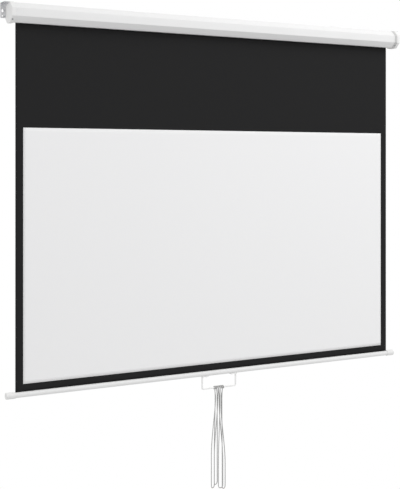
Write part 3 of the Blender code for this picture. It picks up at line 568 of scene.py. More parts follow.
def lathe(
    name: str,
    corners: Sequence[Sequence[float]],
    radii: float | Sequence[float],
    place: Array,
    direction: Array,
    steps: int,
    ring: bool = False,
    fillet: int = 4,
) -> Piece:
    """A turned piece.

    Args:
        name: The object's name.
        corners: Its profile, as (radius, height).
        radii: How each corner is rounded, or one radius for all.
        place: Where height is 0 on the axis.
        direction: The axis.
        steps: Pieces in one turn.
        ring: Whether the profile closes on itself, clear of the axis.
        fillet: Pieces in each rounded corner.

    Returns:
        The object.
    """
    profile = filleted(np.array(corners), radii, fillet, closed=ring)
    return Shell().turned(profile, place, direction, steps, ring).build(name)


def rod(name: str, radius: float, start: Array, end: Array, steps: int = 32, edge: float = 0.0) -> Piece:
    """A round solid between two points.

    Args:
        name: The object's name.
        radius: Its radius.
        start: The middle of one end.
        end: The middle of the other.
        steps: Pieces round it.
        edge: Radius of its rounded rims.

    Returns:
        The object.
    """
    start, end = np.asarray(start, float), np.asarray(end, float)
    length = float(np.linalg.norm(end - start))
    corners = [[0, length], [radius, length], [radius, 0], [0, 0]]
    return lathe(name, corners, [0, edge, edge, 0], start, end - start, steps)


def flat_plate(outline: Array, holes: Sequence[Array]) -> tuple[Array, Array]:
    """Triangles that fill an outline round its holes.

    Args:
        outline: (n, 2) corners.
        holes: (m, 2) points of each hole.

    Returns:
        (p, 2) points and (t, 3) triangles.
    """
    loops = [outline, *holes]
    points, faces, start = np.concatenate(loops), [], 0
    for loop in loops:
        faces.append(list(range(start, start + len(loop))))
        start += len(loop)
    found = delaunay_2d_cdt([tuple(p) for p in points], [], faces, 2, 1e-7)
    return np.array(found[0]), np.array(found[2])


# Finishes


class Tree:
    """Short ways to add and join the nodes of one node tree."""

    def __init__(self, tree: bpy.types.NodeTree) -> None:
        """Keeps the tree that nodes are added to."""
        self.tree = tree

    def add(self, kind: str, inputs: dict | None = None, **settings: object) -> Node:
        """Adds a node.

        Args:
            kind: The node's type.
            inputs: What goes in each input, by name or number: a value, a node's first output, or an output.
            settings: The node's own properties.

        Returns:
            The node.
        """
        node = self.tree.nodes.new(kind)
        for name, value in settings.items():
            setattr(node, name, value)
        for name, value in (inputs or {}).items():
            self.feed(node.inputs[name], value)
        return node

    def feed(self, socket: Socket, value: object) -> None:
        """Links an output to a socket, or sets the socket's own value.

        Args:
            socket: The input.
            value: A value, an output, or a node, whose first output is meant.
        """
        if isinstance(value, bpy.types.Node):
            value = value.outputs[0]
        if isinstance(value, bpy.types.NodeSocket):
            self.tree.links.new(value, socket)
        else:
            socket.default_value = value

    def place(self, kind: str = "Object") -> Socket:
        """The surface's own coordinates: Object, or UV for its map."""
        return self.add("ShaderNodeTexCoord").outputs[kind]

    def parts(self, vector: object) -> Sockets:
        """The X, Y and Z of a vector."""
        return self.add("ShaderNodeSeparateXYZ", {0: vector}).outputs

    def stretched(self, vector: object, scale: Point) -> Node:
        """A vector whose parts are each multiplied by a scale of their own."""
        return self.add("ShaderNodeMapping", {0: vector, "Scale": scale})

    def math(self, operation: str, first: object, second: object = 0.0, third: object = 0.0) -> Node:
        """Adds a Math node that works on up to three values."""
        return self.add("ShaderNodeMath", {0: first, 1: second, 2: third}, operation=operation)

    def times(self, first: object, second: object) -> Node:
        """One value times another."""
        return self.math("MULTIPLY", first, second)

    def line(self, value: object, slope: object, start: object) -> Node:
        """A value times a slope, plus a start."""
        return self.math("MULTIPLY_ADD", value, slope, start)

    def between(self, value: object, low: float, high: float) -> Node:
        """A smooth step: 0 up to the low value, 1 from the high one."""
        inputs = {"Value": value, "From Min": low, "From Max": high}
        return self.add("ShaderNodeMapRange", inputs, interpolation_type="SMOOTHSTEP")

    def noise(self, vector: object, scale: object, detail: float = 2.0, roughness: float = 0.5) -> Node:
        """Adds a noise texture, which is about a half all over."""
        inputs = {"Vector": vector, "Scale": scale, "Detail": detail, "Roughness": roughness}
        return self.add("ShaderNodeTexNoise", inputs)

    def mixed(self, factor: object, first: object, second: object, how: str = "MIX") -> Socket:
        """Adds a colour mix and returns its result."""
        mix = self.add("ShaderNodeMix", {0: factor, 6: first, 7: second}, data_type="RGBA", blend_type=how)
        return mix.outputs[2]

    def group(self, maker: Callable[[], bpy.types.NodeTree], **inputs: float) -> Sockets:
        """Adds a maker's shared group, built the first time, with its own values; returns its outputs."""
        shared = bpy.data.node_groups.get(maker.__name__) or maker()
        return self.add("ShaderNodeGroup", inputs, node_tree=shared).outputs

    def close(self, **results: object) -> bpy.types.NodeTree:
        """Ends a shared group, with an output for each result.

        Args:
            results: What each output carries, by the output's name.

        Returns:
            The group.
        """
        for name in results:
            self.tree.interface.new_socket(name=name, in_out="OUTPUT", socket_type="NodeSocketFloat")
        self.add("NodeGroupOutput", results)
        return self.tree


def new_group(name: str, **inputs: float) -> tuple[Tree, Sockets]:
    """Starts a shared node group.

    Args:
        name: The group's name, which is its maker's.
        inputs: Its inputs and their usual values.

    Returns:
        The group's tree, and what carries each input into it.
    """
    shared = bpy.data.node_groups.new(name, "ShaderNodeTree")
    for socket, value in inputs.items():
        made = shared.interface.new_socket(name=socket, in_out="INPUT", socket_type="NodeSocketFloat")
        made.default_value = value
    return Tree(shared), shared.nodes.new("NodeGroupInput").outputs


def coat_grain() -> bpy.types.NodeTree:
    """The orange peel of a sprayed or moulded skin, and slow changes in its tone and gloss."""
    tree, given = new_group("coat_grain", Scale=900.0, Mottle=0.03)
    slow = tree.noise(tree.place(), 7.0, 3.0)
    swing = tree.times(tree.math("SUBTRACT", slow, 0.5), given["Mottle"])
    return tree.close(
        Height=tree.noise(tree.place(), given["Scale"]),
        Tone=tree.math("ADD", swing, 1.0),
        Gloss=tree.line(slow, 0.12, -0.06),
    )


def edge_wear() -> bpy.types.NodeTree:
    """Where a skin is rubbed: its outward edges, broken up by noise."""
    tree, given = new_group("edge_wear", Amount=0.5)
    sharp = tree.between(tree.add("ShaderNodeNewGeometry").outputs["Pointiness"], 0.52, 0.60)
    broken = tree.between(tree.noise(tree.place(), 160.0, 4.0), 0.42, 0.66)
    return tree.close(Mask=tree.times(tree.times(sharp, broken), given["Amount"]))


def settled_dust() -> bpy.types.NodeTree:
    """Where dust lies: on what faces up, in drifts."""
    tree, given = new_group("settled_dust", Amount=0.3)
    normal = tree.parts(tree.add("ShaderNodeNewGeometry").outputs["Normal"])
    facing = tree.between(normal["Z"], 0.35, 0.95)
    drifts = tree.between(tree.noise(tree.place(), 60.0, 5.0, 0.7), 0.35, 0.75)
    return tree.close(Mask=tree.times(tree.times(facing, drifts), given["Amount"]))


def plain_weave() -> bpy.types.NodeTree:
    """A plain weave on the piece's own map, in metres: warp and weft pass over one another by turns."""
    tree, given = new_group("plain_weave", Pitch=0.0007)
    turn = tree.math("DIVIDE", math.pi, given["Pitch"])
    across, along = (tree.times(tree.parts(tree.place("UV"))[axis], turn) for axis in "XY")
    warp, weft = (tree.math("ABSOLUTE", tree.math("SINE", angle)) for angle in (across, along))
    swap = tree.times(tree.math("COSINE", across), tree.math("COSINE", along))
    over = tree.line(swap, 0.5, 0.5)
    under = tree.math("SUBTRACT", 1.0, over)
    slub = tree.noise(tree.stretched(tree.place("UV"), (40.0, 3.0, 1.0)), 9.0, 4.0, 0.6)
    return tree.close(
        Height=tree.math("MAXIMUM", tree.times(warp, over), tree.times(weft, under)),
        Tone=tree.line(slub, 0.10, 0.95),
    )


def drawn_metal() -> bpy.types.NodeTree:
    """The fine lines of drawn or rolled metal, which run along X, and its clouded tone."""
    tree, given = new_group("drawn_metal", Fineness=1.0)
    along = tree.stretched(tree.place(), (60.0, 2400.0, 2400.0))
    clouds = tree.noise(tree.place(), 130.0, 4.0, 0.6)
    return tree.close(
        Height=tree.noise(along, given["Fineness"], 3.0, 0.6),
        Tone=tree.line(clouds, 0.24, 0.88),
        Gloss=tree.line(clouds, 0.20, -0.10),
    )


def spun_yarn() -> bpy.types.NodeTree:
    """The filaments of a cord's strands, on the piece's own map: metres along it, and turns about it. Their
    tone is painted shade, darker in the grooves between filaments, with a random fuzz over it.
    """
    tree, given = new_group("spun_yarn", Lay=0.0016)
    place = tree.parts(tree.place("UV"))
    slant = tree.line(place["Y"], 9.0, tree.math("DIVIDE", place["X"], given["Lay"]))
    thread = tree.line(tree.math("SINE", tree.times(slant, 2 * math.pi)), 0.5, 0.5)
    fuzz = tree.noise(tree.place(), 1500.0, 3.0, 0.7)
    # The tone is painted shade: darker where the filaments dip, lighter on their crests, plus a random fuzz
    return tree.close(Height=thread, Tone=tree.line(fuzz, 0.12, tree.line(thread, 0.14, 0.84)))


@dataclass(frozen=True)
class Finish:
    """A plain finish: what all of them have."""

    name: str
    slot: str
    colour: Point
    roughness: float
    metallic: float = 0.0
    specular: float = 0.5

    def material(self) -> bpy.types.Material:
        """The finish as a material, made the first time that it is asked for."""
        made = bpy.data.materials.get(self.name)
        if made is None:
            made = bpy.data.materials.new(self.name)
            made.use_nodes = True
            made.diffuse_color = (*self.colour, 1.0)
            shader = made.node_tree.nodes["Principled BSDF"]
            shader.inputs["Base Color"].default_value = (*self.colour, 1.0)
            shader.inputs["Roughness"].default_value = self.roughness
            shader.inputs["Metallic"].default_value = self.metallic
            shader.inputs["Specular IOR Level"].default_value = self.specular
            self.pattern(Tree(made.node_tree), shader)
        return made

    def pattern(self, tree: Tree, shader: Node) -> None:
        """Adds what changes over the surface; each kind of finish has its own.

        Args:
            tree: The material's nodes.
            shader: Its Principled shader.
        """

    def tinted(self, tree: Tree, tone: object) -> Socket:
        """The finish's colour times a grey tone."""
        grey = tree.add("ShaderNodeCombineColor", {0: tone, 1: tone, 2: tone})
        return tree.mixed(1.0, (*self.colour, 1.0), grey, "MULTIPLY")

    def raised(self, tree: Tree, shader: Node, height: object, depth: float) -> None:
        """Feeds a height, worth a depth in metres at 1, to the shader's normal."""
        bump = tree.add("ShaderNodeBump", {"Height": height, "Strength": 1.0, "Distance": depth})
        tree.feed(shader.inputs["Normal"], bump.outputs["Normal"])

    def glossed(self, tree: Tree, shader: Node, change: object) -> None:
        """Feeds the finish's roughness with a change added to it."""
        tree.feed(shader.inputs["Roughness"], tree.math("ADD", change, self.roughness))


@dataclass(frozen=True)
class Coated(Finish):
    """A sprayed or moulded skin: orange peel, a little wear at its edges and dust on top."""

    grain: float = 900.0
    depth: float = 0.00002
    mottle: float = 0.03
    wear: float = 0.25
    worn_to: Point = (0.62, 0.62, 0.61)
    dust: float = 0.12
    dust_colour: Point = (0.60, 0.58, 0.54)

    def tone(self, tree: Tree, tone: Socket) -> object:
        """How light the coat is, as a share of its colour: the grain's own tone."""
        return tone

    def pattern(self, tree: Tree, shader: Node) -> None:
        """Tones the coat, wears its edges, lays dust on it and raises its grain."""
        grain = tree.group(coat_grain, Scale=self.grain, Mottle=self.mottle)
        wear = tree.group(edge_wear, Amount=self.wear)["Mask"]
        dust = tree.group(settled_dust, Amount=self.dust)["Mask"]
        coat = self.tinted(tree, self.tone(tree, grain["Tone"]))
        worn = tree.mixed(wear, coat, (*self.worn_to, 1.0))
        tree.feed(shader.inputs["Base Color"], tree.mixed(dust, worn, (*self.dust_colour, 1.0)))
        self.glossed(tree, shader, tree.line(dust, 0.5, grain["Gloss"]))
        self.raised(tree, shader, grain["Height"], self.depth)


@dataclass(frozen=True)
class NeckShaded(Coated):
    """A moulded skin darkened between two places along X, a painted shade for a recess that runs round it."""

    # The span along X that gets painted shade, and the share of the colour left there
    shade_band: tuple[float, float] = (0.0, 1.0)
    neck_shade_tone: float = 0.7

    def tone(self, tree: Tree, tone: Socket) -> object:
        """The grain's tone, times the painted shade's tone where X lies between the two places of the shaded
        span.

        Args:
            tree: The material's nodes.
            tone: The grain's tone.

        Returns:
            The product.
        """
        x = tree.parts(tree.place())["X"]
        past = tree.math("GREATER_THAN", x, self.shade_band[0])
        inside = tree.times(past, tree.math("LESS_THAN", x, self.shade_band[1]))
        return tree.times(tree.line(inside, self.neck_shade_tone - 1.0, 1.0), tone)


@dataclass(frozen=True)
class Metal(Finish):
    """Bare or plated metal: drawn lines, clouds in its plating and brighter, rubbed edges."""

    fineness: float = 1.0
    depth: float = 0.00001
    wear: float = 0.6
    worn_to: Point = (0.80, 0.80, 0.80)

    def pattern(self, tree: Tree, shader: Node) -> None:
        """Clouds the metal, rubs its edges bright and raises its drawn lines."""
        drawn = tree.group(drawn_metal, Fineness=self.fineness)
        wear = tree.group(edge_wear, Amount=self.wear)["Mask"]
        skin = self.tinted(tree, drawn["Tone"])
        tree.feed(shader.inputs["Base Color"], tree.mixed(wear, skin, (*self.worn_to, 1.0)))
        self.glossed(tree, shader, drawn["Gloss"])
        self.raised(tree, shader, drawn["Height"], self.depth)


@dataclass(frozen=True)
class Woven(Finish):
    """Coated screen cloth: a plain weave under its coating, with faint slubs."""

    pitch: float = 0.0007
    depth: float = 0.00003
    swing: float = 1.0

    def pattern(self, tree: Tree, shader: Node) -> None:
        """Tones the cloth along its slubs and raises its weave."""
        weave = tree.group(plain_weave, Pitch=self.pitch)
        tone = tree.line(weave["Tone"], self.swing, 1.0 - self.swing)
        tree.feed(shader.inputs["Base Color"], self.tinted(tree, tone))
        self.glossed(tree, shader, tree.line(weave["Height"], 0.08, -0.04))
        self.raised(tree, shader, weave["Height"], self.depth)


@dataclass(frozen=True)
class Spun(Finish):
    """Twisted cord: filaments that slant over each strand, and a fuzz over them."""

    lay: float = 0.0016
    depth: float = 0.00006

    def pattern(self, tree: Tree, shader: Node) -> None:
        """Tones the filaments, with painted shade in their grooves, and raises them."""
        yarn = tree.group(spun_yarn, Lay=self.lay)
        tree.feed(shader.inputs["Base Color"], self.tinted(tree, yarn["Tone"]))
        self.raised(tree, shader, yarn["Height"], self.depth)


CASE_PAINT = Coated("case_powder_coat", "case_steel", (0.80, 0.80, 0.80), 0.42)
CAP_PLASTIC = Coated(
    "cap_moulded_plastic", "cap_plastic", (0.80, 0.80, 0.795), 0.48, grain=1600.0, depth=0.00001, wear=0.1
)
GRIP_PLASTIC = replace(CAP_PLASTIC, name="grip_moulded_plastic", colour=(0.88, 0.88, 0.875))
# Where the right cap's neck lies along X, from a little before its mouth to just short of its rim; the
# plastic there gets painted shade, darker as in a recess
NECK = (LAYOUT.cap_inner_x - 0.001, LAYOUT.cap_inner_x + LAYOUT.neck_length - 0.0002)
# The right cap's plastic, with painted shade on its recessed neck
NECK_SHADED_PLASTIC = NeckShaded(**asdict(CAP_PLASTIC) | {"name": "neck_shaded_cap_plastic", "shade_band": NECK})
NYLON = replace(
    CAP_PLASTIC, name="natural_nylon", slot="nylon", colour=(0.72, 0.70, 0.64), roughness=0.50, grain=1200.0,
    wear=0.0, dust=0.05,
)
BRACKET_ZINC = Metal("bracket_zinc_plate", "bracket_steel", (0.74, 0.745, 0.755), 0.48, 1.0, wear=0.3)
SCREW_STEEL = Metal("screw_zinc_plate", "screw_steel", (0.42, 0.43, 0.45), 0.38, 1.0)
ZINC_STEEL = Metal("galvanised_tube", "zinc_steel", (0.60, 0.61, 0.63), 0.40, 1.0)
BARE_STEEL = Metal("oiled_steel", "bare_steel", (0.40, 0.40, 0.42), 0.32, 1.0)
BLACK_CLOTH = Woven("black_backed_cloth", "black_fabric", (0.020, 0.020, 0.0205), 0.90, specular=0.06)
WHITE_CLOTH = Woven(
    "matte_white_face", "white_surface", (0.86, 0.86, 0.865), 0.92, specular=0.2, depth=0.00001, swing=0.15
)
CORD_YARN = Spun("white_polyester_cord", "cord", (0.50, 0.50, 0.495), 0.85, specular=0.2)


def dress(obj: Piece, body: Body, finish: Finish, *nodes: str) -> Piece:
    """Gives a finished piece its material and ties it to the CAD.

    Args:
        obj: The piece, in place.
        body: The CAD body that it moves with.
        finish: What it is finished in.
        nodes: The CAD nodes that it stands for.

    Returns:
        The piece.
    """
    obj.data.materials.clear()
    obj.data.materials.append(finish.material())
    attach(obj, body.value)
    if nodes:
        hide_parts(*nodes)
    LOG.info("%s: %d faces, %s", obj.name, len(obj.data.polygons), finish.name)
    return obj


# The case and its caps


@dataclass(frozen=True)
class PanScrew:
    """A pan head screw with a cross recess and a thread."""

    head_radius: float = 0.0032
    head_height: float = 0.0018
    rim_share: float = 0.45
    dome_share: float = 0.97
    shank_radius: float = 0.0015
    recess_half_width: float = 0.00042
    recess_side: float = 0.00018
    recess_reach: float = 0.0018
    recess_end: float = 0.00035
    recess_depth: float = 0.0012
    recess_taper: float = 0.45
    thread_start: float = 0.0004
    thread_pitch: float = 0.0006
    thread_depth: float = 0.00022
    columns: int = 72

    def build(self, name: str, seat: Array, direction: Array, length: float) -> Piece:
        """Makes the screw's skin.

        Args:
            name: The object's name.
            seat: Where the head's underside sits.
            direction: Outward, away from what it holds.
            length: Length under the head.

        Returns:
            The object. The head's height falls as a circle's does towards its rim, less the cross: a depth
            where either coordinate is under the arm's half width and the radius is under its reach. The
            shank's radius is a triangle wave of the height in pitches plus the turn, and tapers at its tip.
        """
        direction = unit(np.asarray(direction, float))
        angle = full_turn(self.columns)
        reach = np.concatenate([np.linspace(0, 0.66, 14), [0.72, 0.80, 0.88, 0.94, 0.98, 1.0]])
        radius = (reach * self.head_radius)[:, None] + 0 * angle
        rise = self.rim_share + (1 - self.rim_share) * np.sqrt(1 - self.dome_share * reach**2)
        arm = np.minimum(np.abs(radius * np.cos(angle)), np.abs(radius * np.sin(angle)))
        inside = 1 - smooth((arm - self.recess_half_width) / self.recess_side)
        inside = inside * (1 - smooth((radius - self.recess_reach) / self.recess_end))
        cross = self.recess_depth * inside * (1 - self.recess_taper * radius / self.head_radius)
        rim = np.array([[1.0, 0.12], [0.97, 0.0]]) * [self.head_radius, self.head_height]
        down = np.linspace(0, length, max(8, int(length / self.thread_pitch * 4)))[:, None]
        phase = (down / self.thread_pitch + angle / (2 * math.pi)) % 1.0
        ridge = np.abs(2 * phase - 1) * smooth((down - self.thread_start) / self.thread_start)
        taper = np.sqrt(np.clip((length - down) / self.shank_radius, 0, 1))
        shank = (self.shank_radius - self.thread_depth * ridge) * taper
        radii = np.concatenate([radius, rim[:, :1] + 0 * angle, shank])
        heights = [self.head_height * rise[:, None] - cross, rim[:, 1:] + 0 * angle, 0 * angle - down]
        around = radii[..., None] * round_axis(angle, *crosswise(direction))
        skin = np.asarray(seat) + direction * GAP + around + np.concatenate(heights)[..., None] * direction
        return Shell().grid(skin, wrap=True).build(name)


SCREW = PanScrew()


def drive(name: str, seat: Array, outward: Array, length: float, body: Body) -> None:
    """Makes the screw of a CAD node in its seat, and dresses it."""
    dress(SCREW.build(f"{name}_pan_head", seat, outward, length), body, SCREW_STEEL, name)


def screw_bore(seat: Array, outward: Array, below: float) -> Piece:
    """What is cut out for a screw's shank: a rod from above its seat to below it."""
    ends = seat + outward * CUT_PAST, seat - outward * below
    return rod("screw_bore", SCREW.shank_radius + GAP, *ends, steps=24)


@dataclass
class HangingCase:
    """The rolled steel case, its two moulded caps and the screws through them."""

    layout: Layout = LAYOUT
    sheet: float = 0.001
    bend_radius: float = 0.003
    lip: float = 0.005
    lip_radius: float = 0.0014
    half_length: float = LAYOUT.cap_face(Side.LEFT) - GAP
    cap_wall: float = 0.0024
    cap_corner: float = 0.0057
    cap_edge: float = 0.0016
    mouth_edge: float = 0.0004
    floor_fillet: float = 0.0006
    neck_depth: float = 0.0012
    neck_fillet: float = 0.0003
    boss_radius: float = 0.0095
    boss_edge: float = 0.0005
    bracket_boss_radius: float = 0.004
    bracket_boss_length: float = 0.006
    screw_length: float = 0.0065
    screw_room: float = 0.006
    screw_from_rim: float = 0.0085
    spade: tuple[float, float] = (0.0018, 0.0063)
    bush_seat_radius: float = 0.0061

    @property
    def cap_across(self) -> float:
        """Size of the caps across their flats."""
        return self.layout.case_across + 2 * (GAP + self.cap_wall)

    def chamfer_screws(self, side: Side) -> list[tuple[str, Array, Array]]:
        """The two screws through a cap's lower chamfers.

        Args:
            side: Which cap.

        Returns:
            Name, seat and outward direction of each.
        """
        place, necked = self.layout, side is Side.RIGHT
        along = place.neck_length / 2 if necked else self.screw_from_rim
        reach = self.cap_across / 2 - (self.neck_depth if necked else 0.0)
        middle = np.array([side.value * (place.cap_inner_x + along), *place.case_centre])
        ways = (("front", unit(-Y_AXIS - Z_AXIS)), ("rear", unit(Y_AXIS - Z_AXIS)))
        return [(f"cap_screw_{side.word}_{where}", middle + way * reach, way) for where, way in ways]

    def case_path(self) -> Array:
        """The case's outer line, from the slot's front lip round to its rear lip, clockwise in (Y, Z)."""
        place, bottom = self.layout, self.layout.case_bottom
        reach = place.case_across / 2 / math.cos(math.pi / 8)
        corners = np.array(place.case_centre) + reach * on_circle(OCTAGON[:7])
        start = [[place.slot_front, bottom + self.lip], [place.slot_front, bottom]]
        end = [[place.slot_rear, bottom + GAP], [place.slot_rear, bottom + self.lip]]
        radii = [0.0, self.lip_radius, *[self.bend_radius] * 7, self.lip_radius, 0.0]
        return filleted(np.concatenate([start, corners, end]), radii, 8)

    def make_case(self) -> Piece:
        """The case: its wall's outline carried along X, with the cap screws' holes."""
        outline = wall_outline(self.case_path(), self.sheet)
        places = np.linspace(-self.half_length, self.half_length, 25)
        case = Shell().along_x(outline, places).build("case_rolled_sheet")
        screws = [screw for side in Side for screw in self.chamfer_screws(side)]
        return combine(case, taken=[screw_bore(seat, way, self.screw_room) for _, seat, way in screws])

    def make_cap(self, side: Side) -> Piece:
        """A cap: rows of (inset, distance from the mouth) carried round the octagon.

        Args:
            side: Which cap.

        Returns:
            The object, with the details inside it.
        """
        place, across, neck = self.layout, self.cap_across, self.layout.neck(side)
        reach, mouth = across / 2, place.cap_inner_x
        long, floor = place.cap_outer(side) - mouth, place.cap_face(side) - mouth
        corners, radii = [[reach, long], [0, long], [0, neck]], [0, self.cap_edge, self.mouth_edge]
        if neck:
            corners += [[self.neck_depth, neck], [self.neck_depth, 0]]
            radii += [self.neck_fillet, self.mouth_edge]
        corners += [[self.cap_wall, 0], [self.cap_wall, floor], [reach, floor]]
        rows = filleted(np.array(corners), [*radii, self.mouth_edge, self.floor_fillet, 0], 5)
        centre = np.array(place.case_centre)
        rings = np.array([octagon_inset(across, self.cap_corner, inset) + centre for inset, _ in rows])
        x = side.value * (mouth + rows[:, 1])
        skin = np.concatenate([np.broadcast_to(x[:, None, None], (*rings.shape[:2], 1)), rings], axis=-1)
        cap = Shell().grid(skin, wrap=True).build(f"end_cap_{side.word}_moulding")
        return combine(cap, *self.cap_details(side))

    def cap_details(self, side: Side) -> tuple[list[Piece], list[Piece]]:
        """What is moulded inside a cap.

        Args:
            side: Which cap.

        Returns:
            The solids that are added, which are bosses, and those that are cut out: the screws' bores and
            the shaft's slot or the bush's seat.
        """
        place, way, axis = self.layout, side.value, (self.layout.roller_y, self.layout.roller_z)
        outer, face = place.cap_outer(side), place.cap_face(side)
        wall, inner = way * (outer - place.cap_end_wall / 2), way * place.boss_x
        mouth = inner - way * CUT_PAST / 2
        added, taken = [rod("boss", self.boss_radius, (inner, *axis), (wall, *axis), 48, self.boss_edge)], []
        for spot in WallBrackets.screws:
            start = (way * (face - self.bracket_boss_length), *spot)
            added.append(rod("screw_boss", self.bracket_boss_radius, start, (wall, *spot)))
            taken.append(screw_bore(np.array([way * outer, *spot]), way * X_AXIS, WallBrackets.screw_room))
        taken += [screw_bore(seat, outward, CUT_PAST) for _, seat, outward in self.chamfer_screws(side)]
        if side is Side.LEFT:
            outline, places = SQUARE * np.array(self.spade) + np.array(axis), np.array([mouth, way * face])
            taken.append(Shell().along_x(outline, places, halves=False).build("spade_slot"))
        else:
            end = (way * place.cap_face(Side.LEFT), *axis)
            taken.append(rod("bush_seat", self.bush_seat_radius, (mouth, *axis), end))
        return added, taken

    def make(self) -> None:
        """Builds and dresses the case, the caps and the cap screws."""
        dress(self.make_case(), Body.HOUSING, CASE_PAINT, "case_body")
        # The right cap's plastic paints shade on its recessed neck
        for side, plastic in ((Side.LEFT, CAP_PLASTIC), (Side.RIGHT, NECK_SHADED_PLASTIC)):
            dress(self.make_cap(side), Body.HOUSING, plastic, f"end_cap_{side.word}")
            for name, seat, outward in self.chamfer_screws(side):
                drive(name, seat, outward, self.screw_length, Body.HOUSING)


@dataclass
class WallBrackets:
    """Two folded steel brackets, each with a wall, a ceiling and a side flange, and their screws."""

    layout: Layout = LAYOUT
    sheet: float = 0.002
    fold_radius: float = 0.002
    reach: float = 0.0165
    top: float = 0.0262
    foot: float = -0.034
    depth: float = 0.052
    leg_depth: float = 0.0135
    gusset_low: float = 0.0122
    gusset_front_low: float = 0.0222
    corner_radius: float = 0.003
    keyhole_from_edge: float = 0.0095
    keyhole_radius: float = 0.0045
    keyhole_slot: float = 0.0024
    keyhole_rise: float = 0.007
    lower_hole_z: float = -0.0255
    lower_hole_radius: float = 0.003
    ceiling_slot_radius: float = 0.0025
    ceiling_slot_length: float = 0.014
    screws: tuple[tuple[float, float], ...] = ((-0.0096, -0.004), (-0.0096, -0.028))
    screw_length: float = 0.012
    screw_room: float = 0.0112
    cut_edge: float = 0.00025

    def edges(self, side: Side) -> tuple[float, float, float]:
        """How far out the side flange's middle, the holes and the outer edge lie."""
        inner = self.layout.cap_outer(side) + GAP
        return inner + self.sheet / 2, inner + self.keyhole_from_edge, inner + self.sheet + self.reach

    def keyhole(self, x: float) -> Array:
        """The keyhole's outline.

        Args:
            x: How far out it lies.

        Returns:
            (n, 2) points, as (X, Z): a round hole, and a slot that leads up from it.
        """
        meet = math.asin(self.keyhole_slot / self.keyhole_radius)
        low = (x, -self.keyhole_rise)
        around = arc(low, self.keyhole_radius, math.pi / 2 + meet, 2.5 * math.pi - meet, 28)
        return np.concatenate([around, arc((x, 0), self.keyhole_slot, 0, math.pi, 12)])

    def flanges(self, side: Side) -> list[tuple[Array, list[Array], int]]:
        """The three flat flanges, up to their folds.

        Args:
            side: Which end the bracket is for.

        Returns:
            Outline and holes of each in its own plane, and the axis that it faces.
        """
        turn, front = self.corner_radius, -self.depth
        hole_x, outer = self.edges(side)[1:]
        inner, rear, top = self.fold_centre(side)
        wall = np.array([[inner, top], [outer, top], [outer, self.foot], [inner, self.foot]])
        lower = arc((hole_x, self.lower_hole_z), self.lower_hole_radius, 0, 2 * math.pi, 24)[:-1]
        ceiling = np.array([[inner, rear], [outer, rear], [outer, front], [inner, front]])
        straight = self.ceiling_slot_length / 2 - self.ceiling_slot_radius
        slot = [
            arc((hole_x, front / 2 + way * straight), self.ceiling_slot_radius, start, start + math.pi, 12)
            for way, start in ((1, 0), (-1, math.pi))
        ]
        leg_y = -self.leg_depth
        plate = [[rear, top], [rear, self.foot], [leg_y, self.foot], [leg_y, self.gusset_low]]
        plate = np.array([*plate, [front, self.gusset_front_low], [front, top]])
        bores = [arc(spot, SCREW.shank_radius + GAP, 0, 2 * math.pi, 24)[:-1] for spot in self.screws]
        return [
            (filleted(wall, [0, 0, turn, 0], 6, True), [self.keyhole(hole_x), lower], 1),
            (filleted(ceiling, [0, 0, turn, 0], 6, True), [np.concatenate(slot)], 2),
            (filleted(plate, [0, 0, turn, turn, 0, 0]), bores, 0),
        ]

    def fold_centre(self, side: Side) -> Array:
        """The middle of the ball on which the three folds meet, with X outward on either side."""
        half, fold = self.sheet / 2, self.fold_radius
        return np.array([self.edges(side)[0] + fold, -half - fold, self.top - half - fold])

    def folds(self, side: Side) -> list[Array]:
        """The three folds and the round corner where they meet, on the middle of the sheet.

        Args:
            side: Which end the bracket is for.

        Returns:
            Grids of points. A fold is the centre plus the fold's radius times the cosine and sine of a
            quarter turn, carried along the third axis; the corner is an eighth of a ball.
        """
        centre, radius = self.fold_centre(side), self.fold_radius
        turn = np.linspace(0, math.pi / 2, 7)
        cos, sin, none = np.cos(turn), np.sin(turn), 0 * turn
        grids = []
        for axis, far, rim in (
            (2, self.foot, (-cos, sin, none)),
            (0, self.edges(side)[2], (none, cos, sin)),
            (1, -self.depth, (-cos, none, sin)),
        ):
            near = centre + radius * np.column_stack(rim)
            away = near.copy()
            away[:, axis] = far
            grids.append(np.stack([near, away]))
        ball = np.stack([-np.outer(sin, cos), np.outer(sin, sin), np.outer(cos, 1 + none)], axis=-1)
        return [*grids, centre + radius * ball]

    def make_bracket(self, side: Side) -> Piece:
        """A bracket: three flat plates and their round folds, on the sheet's middle, given a thickness.

        Args:
            side: Which end it is for.

        Returns:
            The object, its cut edges broken and its flat faces shaded flat.
        """
        half = self.sheet / 2
        level = {0: self.edges(side)[0], 1: -half, 2: self.top - half}
        mirror = np.array([side.value, 1, 1])
        shell = Shell()
        for grid in self.folds(side):
            shell.grid(grid * mirror)
        points, count = shell.points, shell.count
        faces = [face for grid in shell.faces for face in grid.tolist()]
        for outline, holes, axis in self.flanges(side):
            flat, triangles = flat_plate(outline, holes)
            points.append(np.insert(flat, axis, level[axis], axis=1) * mirror)
            faces += (triangles + count).tolist()
            count += len(flat)
        name = f"bracket_{side.word}_folding"
        mesh = bpy.data.meshes.new(name)
        mesh.from_pydata(np.concatenate(points).tolist(), [], faces)
        weld(mesh, 5 * WELD)
        bracket = linked(name, mesh)
        solid = bracket.modifiers.new("sheet", "SOLIDIFY")
        solid.thickness, solid.offset = self.sheet, 0.0
        break_edges(bracket, self.cut_edge)
        bracket.modifiers.new("flat_faces", "WEIGHTED_NORMAL").keep_sharp = True
        return bracket

    def make(self) -> None:
        """Builds and dresses the brackets and the screws that hold them to the caps."""
        for side in Side:
            seat_x = self.edges(side)[0] + self.sheet / 2
            dress(self.make_bracket(side), Body.HOUSING, BRACKET_ZINC, f"bracket_{side.word}")
            for number, spot in enumerate(self.screws, start=1):
                seat, outward = np.array([side.value * seat_x, *spot]), side.value * X_AXIS
                name = f"bracket_screw_{side.word}_{number}"
                drive(name, seat, outward, self.screw_length, Body.HOUSING)


# The roller, its spring and its lock


